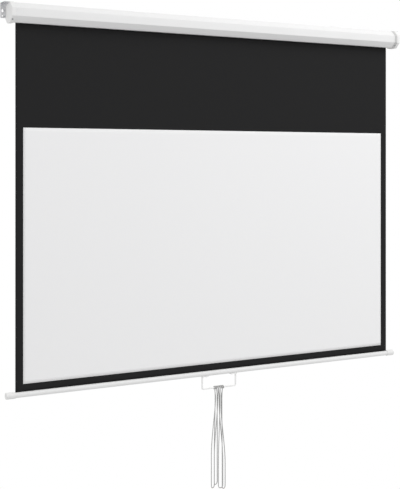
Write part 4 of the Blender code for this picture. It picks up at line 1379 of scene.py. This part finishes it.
@dataclass
class SpringRoller:
    """The tube that takes up the fabric, its plugs and bearings, and the spring motor on its still shaft."""

    layout: Layout = LAYOUT
    tube_radius: float = 0.017238
    tube_bore: float = 0.016038
    tube_half: float = LAYOUT.fabric_half + 0.0087
    wound_radius: float = 0.018438
    wraps: int = 2
    cloth: float = 0.00043
    flange_radius: float = 0.017938
    flange_x: float = LAYOUT.fabric_half + 0.009
    flange_thickness: float = 0.0035
    plug_length: float = 0.024
    hub_radius: float = 0.01095
    hub_length: float = 0.015
    shaft_radius: float = 0.004
    shaft_ends: tuple[float, float] = (-LAYOUT.boss_x, 0.366 - LAYOUT.boss_x)
    spade_ends: tuple[float, float] = (GAP - LAYOUT.cap_face(Side.LEFT), 0.001 - LAYOUT.boss_x)
    spade_half: tuple[float, float] = (0.0015, 0.006)
    spring_radius: float = 0.013038
    spring_wire: float = 0.001
    spring_ends: tuple[float, float] = (-0.9159, -0.6159)
    spring_turns: int = 28
    anchor_x: float = -0.6146
    anchor_thickness: float = 0.015
    circlip_radius: float = 0.0065
    pin_radius: float = 0.003
    pin_ends: tuple[float, float] = (0.9235, 0.9585)
    bush_wall: float = 0.0025
    bush_x: float = LAYOUT.boss_x
    bush_length: float = 0.0097
    groove_from_end: float = 0.012
    groove_depth: float = 0.0004
    groove_half: float = 0.0012
    pin_hole_depth: float = 0.0183
    circlip_gap: float = math.radians(24)
    circlip_ear: float = 0.5
    circlip_fade: float = 0.45
    circlip_slim: float = 0.62

    def on_axis(self, x: float) -> Array:
        """A point on the roller's axis."""
        return np.array([x, self.layout.roller_y, self.layout.roller_z])

    def ring(self, name: str, corners: list, radii: list | float, x: float, way: float) -> Piece:
        """A turned ring whose closed (radius, height) profile is rounded at its corners."""
        return lathe(name, corners, radii, self.on_axis(x), way * X_AXIS, 56, ring=True)

    def make_tube(self) -> Piece:
        """The rolled tube, with rounded rims and a shallow groove rolled in near each end."""
        half, outer, bore = self.tube_half, self.tube_radius, self.tube_bore
        wide, deep = self.groove_half, self.groove_depth
        dips = [(0, -wide), (-deep, -wide / 3), (-deep, wide / 3), (0, wide)]
        middle = half - self.groove_from_end
        grooves = [[outer + sink, way * middle + along] for way in (-1, 1) for sink, along in dips]
        corners = [[outer, -half], *grooves, [outer, half], [bore, half], [bore, -half]]
        radii = [0.0003, *[0.0002] * len(grooves), 0.0003, 0.0003, 0.0003]
        return self.ring("roller_tube_rolled", corners, radii, 0.0, 1.0)

    def make_wound(self) -> Piece:
        """The turns that stay on the tube: a spiral whose radius grows by one cloth a turn."""
        half, step = self.layout.fabric_half, self.layout.fabric_thickness
        turn = np.linspace(0, 2 * math.pi * self.wraps, 72 * self.wraps + 1)
        low = (self.wound_radius - step * self.wraps + step * turn / (2 * math.pi))[:, None]
        skins = [self.on_axis(0)[1:] + radius * on_circle(turn) for radius in (low + self.cloth, low)]
        outline = np.concatenate([skins[0], skins[1][::-1]])
        return Shell().along_x(outline, np.linspace(-half, half, 9)).build("wound_fabric_turns")

    def make_left_plug(self) -> Piece:
        """The plug that turns on the shaft, with the hole for the pawl's pin in its flange."""
        bore, body, long = self.shaft_radius + GAP, self.tube_bore - GAP, self.plug_length
        thick, hub, end = self.flange_thickness, self.hub_radius, self.plug_length + self.hub_length
        corners = [[self.flange_radius, thick], [self.flange_radius, 0], [body, 0], [body, -long]]
        corners += [[hub, -long], [hub, -end], [bore, -end], [bore, thick]]
        radii = [0.0006, 0.0003, 0.0, 0.0006, 0.0005, 0.0005, 0.0003, 0.0003]
        plug = self.ring("roller_plug_left_moulding", corners, radii, -self.flange_x, -1.0)
        ends = [(x, *HeightLock.pivot) for x in HeightLock.pin_hole_x]
        return combine(plug, taken=[rod("pin_hole", HeightLock.eye_bore, *ends, steps=24)])

    def make_right_plug(self) -> Piece:
        """The plug that holds the idler pin."""
        bore, body, thick = self.pin_radius + GAP, self.tube_bore - GAP, self.flange_thickness
        floor, back, rim = -self.pin_hole_depth, -self.plug_length, self.flange_radius
        corners = [[0, floor], [bore, floor], [bore, thick], [rim, thick]]
        corners += [[rim, 0], [body, 0], [body, back], [0, back]]
        radii = [0, 0, 0.0004, 0.0006, 0.0003, 0, 0.0006, 0]
        return lathe("roller_plug_right_moulding", corners, radii, self.on_axis(self.flange_x), X_AXIS, 56)

    def make_shaft(self) -> Piece:
        """The still shaft, with its flattened end."""
        ends = [self.on_axis(x) for x in self.shaft_ends]
        shaft = rod("spring_shaft_turned", self.shaft_radius, *ends, steps=40, edge=0.0005)
        outline = filleted(SQUARE * np.array(self.spade_half) + self.on_axis(0)[1:], 0.0004, 3, closed=True)
        blade = Shell().along_x(outline, np.array(self.spade_ends), halves=False).build("spade")
        return combine(shaft, [blade])

    def make_spring(self) -> Piece:
        """The motor spring: a helix, its wire's cross section carried along it."""
        count = self.spring_turns * 22
        turn = np.linspace(0, 2 * math.pi * self.spring_turns, count + 1)
        x = np.linspace(*self.spring_ends, count + 1)
        rim = self.spring_radius * np.column_stack([0 * turn, np.cos(turn), np.sin(turn)])
        path = self.on_axis(0) + rim + x[:, None] * X_AXIS
        return Shell().swept(path, self.spring_wire, X_AXIS, 10).build("torsion_spring_coil")

    def make_anchor(self) -> Piece:
        """The hub that holds the spring's still end and steadies the tube."""
        bore, body, hub = self.shaft_radius + GAP, self.tube_bore - GAP, self.hub_radius
        thick, long = self.anchor_thickness, self.hub_length
        corners = [[hub, long], [hub, 0], [body, 0], [body, -thick], [bore, -thick], [bore, long]]
        return self.ring("spring_anchor_moulding", corners, 0.0005, self.anchor_x, -1.0)

    def make_circlip(self) -> Piece:
        """The clip that keeps the anchor on the shaft: an open ring, widest at its two ears."""
        bore, gap = self.shaft_radius + GAP, self.circlip_gap
        inner = arc((0, 0), bore, gap, 2 * math.pi - gap, 40)
        from_gap = np.abs(np.arctan2(inner[:, 1], inner[:, 0])) - gap
        ear = 1 - smooth((from_gap - self.circlip_ear) / self.circlip_fade)
        width = (self.circlip_radius - bore) * (self.circlip_slim + (1 - self.circlip_slim) * ear)
        outer = inner + width[:, None] * unit(inner)
        outline = np.concatenate([outer, inner[::-1]]) + self.on_axis(0)[1:]
        start = self.anchor_x + self.anchor_thickness + GAP
        return Shell().along_x(outline, np.array([start, start + 0.001])).build("shaft_circlip_open")

    def make_pin(self) -> Piece:
        """The pin that the roller's right end turns on."""
        ends = [self.on_axis(x) for x in self.pin_ends]
        return rod("idler_pin_turned", self.pin_radius, *ends, steps=40, edge=0.0005)

    def make_bush(self) -> Piece:
        """The bush in the right cap, round the pin."""
        inner, long = self.pin_radius + GAP, self.bush_length
        outer = inner + self.bush_wall
        corners = [[outer, long], [outer, 0], [inner, 0], [inner, long]]
        return self.ring("idler_bush_moulding", corners, 0.0003, self.bush_x, 1.0)

    def make(self) -> None:
        """Builds and dresses the pieces that turn, and then those that stay still."""
        dress(self.make_tube(), Body.ROLLER, ZINC_STEEL, "roller_tube")
        dress(self.make_wound(), Body.ROLLER, BLACK_CLOTH, "wound_fabric")
        dress(self.make_left_plug(), Body.ROLLER, NYLON, "roller_plug_left")
        dress(self.make_right_plug(), Body.ROLLER, NYLON, "roller_plug_right")
        dress(self.make_pin(), Body.ROLLER, BARE_STEEL, "idler_pin")
        dress(self.make_shaft(), Body.HOUSING, BARE_STEEL, "spring_shaft")
        dress(self.make_spring(), Body.HOUSING, BARE_STEEL, "torsion_spring")
        dress(self.make_anchor(), Body.HOUSING, NYLON, "spring_anchor")
        dress(self.make_circlip(), Body.HOUSING, BARE_STEEL, "shaft_circlip")
        dress(self.make_bush(), Body.HOUSING, NYLON, "idler_bush")


@dataclass
class HeightLock:
    """The notched disc on the shaft, and the pawl that swings on the roller's flange."""

    pivot: tuple[float, float] = (-0.045309, -0.028)
    layout: Layout = LAYOUT
    disc_x: tuple[float, float] = (-0.9453, -0.9477)
    disc_radius: float = 0.0085
    bore: float = 0.0043
    pawl_length: float = 0.01074
    pawl_half_width: float = 0.0011
    pawl_edge: float = 0.00015
    eye_radius: float = 0.0024
    eye_bore: float = 0.0013
    locked_angle: float = math.radians(154)
    swing: float = math.radians(26)
    pin_radius: float = 0.001
    pin_head: float = 0.002
    pin_head_height: float = 0.0012
    pin_length: float = 0.0057
    pin_seat_x: float = -0.948
    pin_hole_x: tuple[float, float] = (-0.947, -0.942)

    def make_disc(self) -> Piece:
        """The disc: a turned ring less all that the pawl sweeps as it swings in."""
        start, end = self.disc_x
        thick, turn = start - end, self.locked_angle
        corners = [[self.disc_radius, thick], [self.disc_radius, 0], [self.bore, 0], [self.bore, thick]]
        place = (start, self.layout.roller_y, self.layout.roller_z)
        disc = lathe("ratchet_disc_turned", corners, 0.00025, place, -X_AXIS, 64, ring=True, fillet=3)
        depth, reach = self.pawl_half_width + GAP, self.pawl_length + GAP
        corner = depth * np.array([math.sin(turn), -math.cos(turn)])
        swept = arc((0, 0), reach, turn - math.asin(depth / reach), turn + 2 * self.swing, 16)
        outline = np.array([corner, *swept, [0.0, 0.0]]) + self.pivot
        places = np.array([end - CUT_PAST / 2, start + CUT_PAST / 2])
        return combine(disc, taken=[Shell().along_x(outline, places, halves=False).build("notch")])

    def make_pawl(self) -> Piece:
        """The pawl, clear of the disc: an eye round its pin and a tapered arm with a square tip."""
        half, long = self.pawl_half_width, self.pawl_length
        meet = math.asin(half / self.eye_radius)
        eye = arc((0, 0), self.eye_radius, meet, 2 * math.pi - meet, 24)
        turn = self.locked_angle + self.swing
        across = np.array([[math.cos(turn), math.sin(turn)], [-math.sin(turn), math.cos(turn)]])
        outline = np.array([*eye, [long, -half], [long, half]]) @ across + self.pivot
        pawl = Shell().along_x(outline, np.array(self.disc_x), halves=False).build("pawl_stamping")
        ends = self.disc_x[0] + CUT_PAST / 2, self.disc_x[1] - CUT_PAST / 2
        combine(pawl, taken=[rod("eye_bore", self.eye_bore, *((x, *self.pivot) for x in ends), steps=24)])
        return break_edges(pawl, self.pawl_edge)

    def make_pin(self) -> Piece:
        """The pawl's pin: a turned head and shank."""
        high, radius, head, long = self.pin_head_height, self.pin_radius, self.pin_head, self.pin_length
        corners = [[0, high], [head, high], [head, 0], [radius, 0], [radius, -long], [0, -long]]
        radii, place = [0, 0.0008, 0.0001, 0, 0.0002, 0], (self.pin_seat_x, *self.pivot)
        return lathe("pawl_pin_turned", corners, radii, place, -X_AXIS, 32, fillet=5)

    def make(self) -> None:
        """Builds and dresses the disc, the pawl and its pin."""
        dress(self.make_disc(), Body.HOUSING, BARE_STEEL, "ratchet_disc")
        dress(self.make_pawl(), Body.PAWL, BARE_STEEL, "pawl")
        dress(self.make_pin(), Body.ROLLER, BARE_STEEL, "pawl_pin")


# The fabric


@dataclass
class ProjectionFabric:
    """The black backed cloth and the matte white face on its front."""

    layout: Layout = LAYOUT
    top: float = -0.016
    bottom: float = -1.5097
    white_half: float = 0.900
    white_top: float = -0.466
    white_bottom: float = -1.4785
    raised_white_bottom: float = LAYOUT.case_bottom + 0.004
    white_thickness: float = 0.0002
    white_y: float = -0.035471
    travel: float = 1.44655
    ripple: float = 0.00035
    waves: tuple[Wave, ...] = ((1.0, 9.1, 0.8, 0.6), (0.6, 17.3, -1.7, 2.1))
    ripple_room: float = 0.55
    edge_curl: float = 0.8
    edge_width: float = 0.03

    def hang(self, x: Array, z: Array) -> Array:
        """How far the cloth stands off its flat.

        Args:
            x: Places across it.
            z: Heights on it.

        Returns:
            Slow upright ripples that die out at its two held edges, its free edges curled forward a little.
        """
        held = np.clip((z - self.bottom) * (self.top - z) / self.ripple_room, 0, 1)
        waves = sum(high * np.sin(across * x + down * z + start) for high, across, down, start in self.waves)
        from_edge = (self.layout.fabric_half - np.abs(x)) / self.edge_width
        return self.ripple * held * (waves - self.edge_curl * np.exp(-(from_edge**2)))

    def cloth(
        self,
        name: str,
        half: float,
        span: tuple[float, float],
        y: float,
        thick: float,
        cells: tuple[int, int],
    ) -> Piece:
        """A hanging sheet: a grid of x and z whose y is the hang, with a map in metres, made solid.

        Args:
            name: The object's name.
            half: Half its width.
            span: Heights of its lower and upper edges.
            y: Where its middle lies when flat.
            thick: Its thickness.
            cells: Cells across and down.

        Returns:
            The object.
        """
        x, z = np.meshgrid(np.linspace(-half, half, cells[0] + 1), np.linspace(*span, cells[1] + 1))
        points = np.stack([x, y + self.hang(x, z), z], axis=-1)
        sheet = Shell().grid(points, uv=np.stack([x, z], axis=-1)).build(name, closed=False)
        solid = sheet.modifiers.new("cloth", "SOLIDIFY")
        solid.thickness, solid.offset = thick, 0.0
        return sheet

    def make(self) -> None:
        """Builds and dresses both sheets, and gives each its own mesh."""
        place, whole = self.layout, (self.bottom, self.top)
        view = (self.white_bottom, self.white_top)
        y, thick = place.fabric_y, place.fabric_thickness
        black = self.cloth("screen_cloth", place.fabric_half, whole, y, thick, (124, 100))
        white = self.cloth("white_face", self.white_half, view, self.white_y, self.white_thickness, (120, 68))
        dress(black, Body.HOUSING, BLACK_CLOTH, "screen_fabric")
        dress(white, Body.HOUSING, WHITE_CLOTH, "white_surface")
        down_to_bar = 1 - self.travel / (self.top - self.bottom)
        inside_case = (self.top - self.raised_white_bottom) / (self.top - self.white_bottom)
        for sheet, keep in ((black, down_to_bar), (white, inside_case)):
            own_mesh(sheet)


# The bar, its grip loop and the cord


@dataclass
class WeightBar:
    """The round bar with its slot, the fabric's hem on its rod, and the two caps."""

    layout: Layout = LAYOUT
    wall: float = 0.0012
    slot: float = 0.0025
    half_length: float = 0.9687
    hem_rise: float = 0.0061
    hem_radius: float = 0.0034
    hem_bore: float = 0.0028
    rod_radius: float = 0.0025
    rod_half: float = LAYOUT.fabric_half - 0.005
    cap_start: float = LAYOUT.fabric_half + 0.0005
    cap_length: float = 0.039
    cap_radius: float = 0.01325
    cap_bore: float = 0.0113
    cap_depth: float = 0.036
    cap_rounding: float = 0.003
    screw_room: float = 0.0045

    @property
    def centre(self) -> Array:
        """The bar's axis, as (Y, Z)."""
        return np.array([self.layout.fabric_y, self.layout.bar_z])

    @property
    def hem_centre(self) -> Array:
        """The axis of the hem and its rod, as (Y, Z)."""
        return self.centre + [0.0, self.hem_rise]

    def make_tube(self) -> Piece:
        """The tube: a round wall with a slot along its top, carried along X, less the screws' holes."""
        radius, up = self.layout.bar_radius, math.pi / 2
        edge = math.asin(self.slot / 2 / (radius - self.wall / 2))
        path = arc(self.centre, radius, up - edge, up - 2 * math.pi + edge, 96)
        places = np.linspace(-self.half_length, self.half_length, 25)
        tube = Shell().along_x(wall_outline(path, self.wall), places).build("weight_bar_tube")
        seats = [seat for _, seat in GripLoop().foot_screws()]
        return combine(tube, taken=[screw_bore(seat, -Z_AXIS, self.screw_room) for seat in seats])

    def make_cap(self, side: Side) -> Piece:
        """A cap: a turned cup with a rounded end.

        Args:
            side: Which end of the bar it is for.

        Returns:
            The object.
        """
        long, end, outer, bore = self.cap_length, self.cap_depth, self.cap_radius, self.cap_bore
        corners = [[0, long], [outer, long], [outer, 0], [bore, 0], [bore, end], [0, end]]
        radii = [0, self.cap_rounding, 0.0005, 0.0003, 0.0004, 0]
        place, way = (side.value * self.cap_start, *self.centre), side.value * X_AXIS
        return lathe(f"bar_cap_{side.word}_moulding", corners, radii, place, way, 64, fillet=8)

    def make_hem(self) -> Piece:
        """The hem: the cloth's loop round its rod, a thin ring carried along X."""
        outer, bore, half = self.hem_radius, self.hem_bore, self.layout.fabric_half
        corners = [[outer, half], [outer, -half], [bore, -half], [bore, half]]
        place = (0.0, *self.hem_centre)
        return lathe("fabric_hem_loop", corners, 0.0002, place, X_AXIS, 40, ring=True, fillet=3)

    def make_rod(self) -> Piece:
        """The rod in the hem, which the bar's slot holds back."""
        ends = [(way * self.rod_half, *self.hem_centre) for way in (-1, 1)]
        return rod("hem_rod_drawn", self.rod_radius, *ends, steps=32, edge=0.0005)

    def make(self) -> None:
        """Builds and dresses the bar's pieces."""
        dress(self.make_tube(), Body.BAR, CASE_PAINT, "bottom_bar")
        dress(self.make_hem(), Body.BAR, BLACK_CLOTH, "fabric_hem")
        dress(self.make_rod(), Body.BAR, BARE_STEEL, "hem_rod")
        for side in Side:
            dress(self.make_cap(side), Body.BAR, CAP_PLASTIC, f"bar_cap_{side.word}")


@dataclass
class GripLoop:
    """The open loop under the bar: a bent rod with a saddle foot at each end, screwed to the bar."""

    layout: Layout = LAYOUT
    width: float = 0.176
    rod_radius: float = 0.0035
    bend_radius: float = 0.006
    rail_z: float = LAYOUT.rail_z
    foot_length: float = 0.032
    foot_depth: float = 0.014
    foot_thickness: float = 0.003
    foot_wrap: float = 0.003
    saddle_radius: float = 0.0113
    screw_x: float = 0.064
    screw_length: float = 0.008
    screw_room: float = 0.006
    foot_edge: float = 0.0012
    foot_end_edge: float = 0.0006

    def foot_screws(self) -> list[tuple[str, Array]]:
        """Name and seat of the screw through each foot."""
        y, z = self.layout.fabric_y, self.layout.bar_z - self.layout.bar_radius - self.foot_thickness
        return [(f"handle_screw_{side.word}", np.array([side.value * self.screw_x, y, z])) for side in Side]

    def make_foot(self, side: Side) -> Piece:
        """A foot: a pad whose upper side is hollowed to the bar's radius, carried along X.

        Args:
            side: Which end of the loop it is for.

        Returns:
            The object, its ends' edges rounded.
        """
        y, z, half = self.layout.fabric_y, self.layout.bar_z, self.foot_depth / 2
        under = z - self.layout.bar_radius
        low, high = under - self.foot_thickness, under + self.foot_wrap
        reach = math.asin(half / self.saddle_radius)
        hollow = arc((y, z), self.saddle_radius, -math.pi / 2 - reach, -math.pi / 2 + reach, 14)
        hollow = hollow[hollow[:, 1] < high]
        corners = np.array([hollow[-1], [y + half, low], [y - half, low], hollow[0]])
        base = filleted(corners, [0, self.foot_edge, self.foot_edge, 0], 4)
        outline = np.concatenate([base, hollow[1:-1]])
        ends = np.sort(side.value * np.array([self.width / 2, self.width / 2 - self.foot_length]))
        foot = Shell().along_x(outline, ends, halves=False).build("foot")
        return break_edges(foot, self.foot_end_edge, 3)

    def make_handle(self) -> Piece:
        """The loop: a round section carried along a path with rounded corners, joined to its feet."""
        half, y = self.width / 2 - self.rod_radius, self.layout.fabric_y
        top = self.layout.bar_z - self.layout.bar_radius - self.foot_thickness / 2
        corners = [[-half, top], [-half, self.rail_z], [half, self.rail_z], [half, top]]
        path = np.insert(filleted(np.array(corners), self.bend_radius, 14), 1, y, axis=1)
        loop = Shell().swept(path, self.rod_radius, Y_AXIS, 28).build("grip_loop_moulding")
        bores = [screw_bore(seat, -Z_AXIS, self.screw_room) for _, seat in self.foot_screws()]
        return combine(loop, [self.make_foot(side) for side in Side], bores)

    def make(self) -> None:
        """Builds and dresses the loop and its screws."""
        dress(self.make_handle(), Body.BAR, GRIP_PLASTIC, "pull_handle")
        for name, seat in self.foot_screws():
            drive(name, seat, -Z_AXIS, self.screw_length, Body.BAR)


@dataclass
class PullCord:
    """The cord: a hank of four bights over the loop's rail, with both ends tied round the rail."""

    layout: Layout = LAYOUT
    rail_z: float = LAYOUT.rail_z
    rail_radius: float = 0.0035
    radius: float = 0.002
    to_rail: float = 0.0004
    drop: float = 0.448
    fold_radius: float = 0.012
    pass_radius: float = 0.0085
    gathered_at: float = 0.045
    spreads: tuple[tuple[float, float], ...] = ((0.0, 0.295), (0.02, 0.31), (0.06, 0.33), (0.08, 0.34))
    waist_row: float = 0.0054
    waist_front: tuple[float, ...] = (-0.0185, -0.0085, 0.0015, 0.0115)
    waist_rear: tuple[float, ...] = (-0.016, -0.006, 0.004, 0.014)
    fold_places: tuple[float, ...] = (-0.0312, -0.0165, 0.0082, 0.0238)
    fold_turns: tuple[float, ...] = (27, 27, 6, 27)
    fold_lifts: tuple[float, ...] = (0.011, 0.024, 0.005, 0.0)
    tie_places: tuple[float, float] = (-0.021, 0.017)
    tie_pitch: float = 0.0045
    tie_turns: int = 2
    strands: int = 3
    lay: float = 0.013
    groove: float = 0.24
    crown_power: float = 0.8
    ring_step: float = 0.0009
    length: float = 3.60

    def fall(self, start: Array, waist: Array, end: Array, depths: tuple[float, float]) -> Array:
        """A strand between its upper end and its fold.

        Args:
            start: Its upper end.
            waist: Where it passes under the rail, as (X, Y).
            end: Its lower end.
            depths: How far down it begins and ends to spread.

        Returns:
            (n, 3) points without the ends: across the fall, the start drawn to the waist by a smooth step of
            the depth, plus the way from the waist to the end times another, slower one.
        """
        z = np.linspace(start[2], end[2], 262)[1:-1]
        gather = smooth((start[2] - z) / (start[2] + self.gathered_at))[:, None]
        spread = smooth((-z - depths[0]) / (depths[1] - depths[0]))[:, None]
        flat = start[:2] + (waist - start[:2]) * gather + (end[:2] - waist) * spread
        return np.column_stack([flat, z])

    def turn_round(self, start: Array, end: Array, rise: float) -> Array:
        """Half a circle between two strands: the middle less half the way times the cosine, and the rise."""
        angle = np.linspace(0, math.pi, 22)[:, None]
        return (start + end) / 2 - (end - start) / 2 * np.cos(angle) + rise * np.sin(angle) * Z_AXIS

    def hank(self) -> Array:
        """The cord's middle from tie to tie, in even steps: down in front, up behind and over the rail."""
        pass_drop = self.pass_radius - (self.rail_radius + self.to_rail + self.radius)
        tie_drop = self.rail_radius + self.to_rail + 2 * self.radius + GAP
        tied = [np.array([x, 0.0, -tie_drop]) for x in self.tie_places]
        last = len(self.fold_places) - 1
        into_tie = (self.radius + GAP) * Z_AXIS
        top, pieces = tied[0], [np.stack([tied[0] + into_tie, tied[0]])]
        folds = zip(self.fold_places, np.radians(self.fold_turns), self.fold_lifts)
        for k, (place, turn, lift) in enumerate(folds):
            depth = self.drop - lift - self.fold_radius - self.radius
            chord = self.fold_radius * np.array([math.cos(turn), math.sin(turn), 0.0])
            front, rear = (np.array([place, 0.0, -depth]) + way * chord for way in (-1, 1))
            waist = np.array([self.waist_front[k], -self.waist_row])
            pieces.append(self.fall(top, waist, front, self.spreads[k]))
            pieces.append(self.turn_round(front, rear, -self.fold_radius))
            top = tied[1] if k == last else np.array([self.waist_rear[k], self.pass_radius, -pass_drop])
            waist = np.array([self.waist_rear[k], self.waist_row])
            pieces.append(self.fall(top, waist, rear, self.spreads[k])[::-1])
            if k < last:
                over = np.array([self.waist_front[k + 1], -self.pass_radius, -pass_drop])
                pieces.append(self.turn_round(top, over, self.pass_radius))
                top = over
        pieces.append(np.stack([tied[1], tied[1] + into_tie]))
        return self.even(np.concatenate(pieces) + [0, self.layout.fabric_y, self.rail_z])

    def even(self, path: Array) -> Array:
        """The same path with its points an even step apart.

        Args:
            path: (n, 3) points.

        Returns:
            (m, 3) points on it, one every ring step or a little more.
        """
        travelled = distances(path)
        places = np.linspace(0, travelled[-1], int(travelled[-1] / self.ring_step) + 1)
        return np.column_stack([np.interp(places, travelled, path[:, axis]) for axis in range(3)])

    def twisted(self, name: str, path: Array, reference: Array) -> Piece:
        """A cord laid from strands.

        Args:
            name: The object's name.
            path: (n, 3) points of its middle.
            reference: A direction that the path never runs along.

        Returns:
            The object. Round the path, the radius is a cosine's size that is full at each strand's crown and
            least in the grooves, and the whole section turns once in the lay. Both ends close like a dome.
        """
        columns, travelled = 6 * self.strands, distances(path)
        crown = np.abs(np.cos(self.strands / 2 * full_turn(columns))) ** self.crown_power
        section = self.radius * (1 - self.groove + self.groove * crown)
        from_end = np.minimum(travelled, travelled[-1] - travelled) / self.radius
        dome = np.sqrt(1 - (1 - np.clip(from_end, 0, 1)) ** 2)[:, None]
        twist = 2 * math.pi * travelled[:, None] / self.lay
        return Shell().swept(path, section * dome, reference, columns, twist).build(name)

    def tie(self, place: float) -> Array:
        """A tie's middle: a helix round the rail, from its underside.

        Args:
            place: Where its middle turn lies along X.

        Returns:
            (90, 3) points: along X by the pitch a turn, and round the rail by the cosine and sine.
        """
        turn = np.linspace(0, self.tie_turns, 90)
        around = (self.rail_radius + self.to_rail + self.radius) * on_circle(2 * math.pi * turn - math.pi / 2)
        x = place + self.tie_pitch * (turn - self.tie_turns / 2)
        return np.column_stack([x, around + [self.layout.fabric_y, self.rail_z]])

    def make(self) -> None:
        path = self.hank()
        cord = self.twisted("pull_cord_hank", path, unit(np.array([1.0, -0.3, 0.0])))
        dress(cord, Body.BAR, CORD_YARN, "pull_cord")
        for side, place in zip(Side, self.tie_places):
            tie = self.twisted(f"cord_tie_{side.word}_turns", self.tie(place), X_AXIS)
            dress(tie, Body.BAR, CORD_YARN, f"cord_tie_{side.word}")


# The studio and the camera


@dataclass(frozen=True)
class SoftBox:
    """A square area light."""

    name: str
    place: Point
    aim: Point
    size: float
    power: float

    def light(self) -> None:
        """Hangs the light and turns it to its aim."""
        data = bpy.data.lights.new(self.name, "AREA")
        data.size, data.energy = self.size, self.power
        lamp = linked(self.name, data)
        lamp.location = self.place
        away = Vector(self.aim) - Vector(self.place)
        lamp.rotation_euler = away.to_track_quat("-Z", "Y").to_euler()


@dataclass
class Studio:
    """A pale floor, white all round to the camera, and soft boxes at the right, in front and at the left."""

    floor_z: float = -2.30
    floor_half: float = 14.0
    floor_colour: Point = (0.76, 0.76, 0.76)
    level: float = 0.80
    boxes: tuple[SoftBox, ...] = (
        SoftBox("key_softbox", (3.0, -3.2, 3.2), (0.4, 0.0, -0.7), 2.4, 98.0),
        SoftBox("top_softbox", (0.6, -2.2, 2.4), (0.2, 0.0, -0.6), 2.4, 13.0),
        SoftBox("side_softbox", (-3.6, -0.2, -0.3), (-0.9, 0.0, -0.3), 1.6, 10.0),
    )

    def make_floor(self) -> None:
        """The floor: pale to the light and white to the camera, and seen through from below."""
        x, y = np.meshgrid(*[np.linspace(-self.floor_half, self.floor_half, 9)] * 2)
        floor = Shell().grid(np.stack([x, y, 0 * x + self.floor_z], axis=-1)).build("floor", closed=False)
        paper = bpy.data.materials.new("pale_floor")
        paper.use_nodes = True
        tree, nodes = Tree(paper.node_tree), paper.node_tree.nodes
        shader = nodes["Principled BSDF"]
        tree.feed(shader.inputs["Base Color"], (*self.floor_colour, 1.0))
        tree.feed(shader.inputs["Roughness"], 0.9)
        seen = tree.add("ShaderNodeEmission", {"Color": WHITE, "Strength": 1.0})
        camera = tree.add("ShaderNodeLightPath").outputs["Is Camera Ray"]
        above = tree.add("ShaderNodeMixShader", {0: camera, 1: shader, 2: seen})
        clear = tree.add("ShaderNodeBsdfTransparent")
        under = tree.add("ShaderNodeNewGeometry").outputs["Backfacing"]
        surface = tree.add("ShaderNodeMixShader", {0: under, 1: above, 2: clear})
        tree.feed(nodes["Material Output"].inputs["Surface"], surface)
        floor.data.materials.append(paper)
        floor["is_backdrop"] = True

    def make_world(self) -> None:
        """The light all round: an even level, and white to the camera."""
        world = bpy.data.worlds.new("studio_light")
        bpy.context.scene.world = world
        world.use_nodes = True
        tree = Tree(world.node_tree)
        shader = world.node_tree.nodes["Background"]
        camera = tree.add("ShaderNodeLightPath").outputs["Is Camera Ray"]
        strength = tree.add("ShaderNodeMix", {0: camera, 2: self.level, 3: 1.0}, data_type="FLOAT")
        tree.feed(shader.inputs["Color"], WHITE)
        tree.feed(shader.inputs["Strength"], strength)

    def make(self) -> None:
        """Builds the studio."""
        bpy.context.scene.view_settings.view_transform = "Standard"
        self.make_floor()
        self.make_world()
        for box in self.boxes:
            box.light()


@dataclass
class PhotoCamera:
    """A level camera, low and to the left, whose shift keeps the uprights upright."""

    place: Point = (-2.3764, -4.0293, -0.5986)
    yaw: float = -29.72
    lens: float = 78.32
    shift_x: float = 0.0002
    shift_y: float = -0.1704
    clip_end: float = 60.0

    def make(self) -> None:
        """Sets up the camera."""
        data = bpy.data.cameras.new("photo_camera")
        data.lens, data.shift_x, data.shift_y = self.lens, self.shift_x, self.shift_y
        data.clip_end = self.clip_end
        camera = linked("photo_camera", data)
        camera.location = self.place
        camera.rotation_euler = (math.pi / 2, 0.0, math.radians(self.yaw))
        bpy.context.scene.camera = camera


def corners() -> list[list[float]]:
    """The lowest and highest corner of what is shown now."""
    return [[float(value) for value in corner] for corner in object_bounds()]


def main() -> None:
    """Builds the screen round its frame."""
    logging.basicConfig(level=logging.INFO, format="%(message)s")
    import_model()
    PhotoCamera().make()
    PullCord().make()
    HangingCase().make()
    WallBrackets().make()
    SpringRoller().make()
    HeightLock().make()
    WeightBar().make()
    GripLoop().make()
    ProjectionFabric().make()
    Studio().make()


if __name__ == "__main__":
    main()
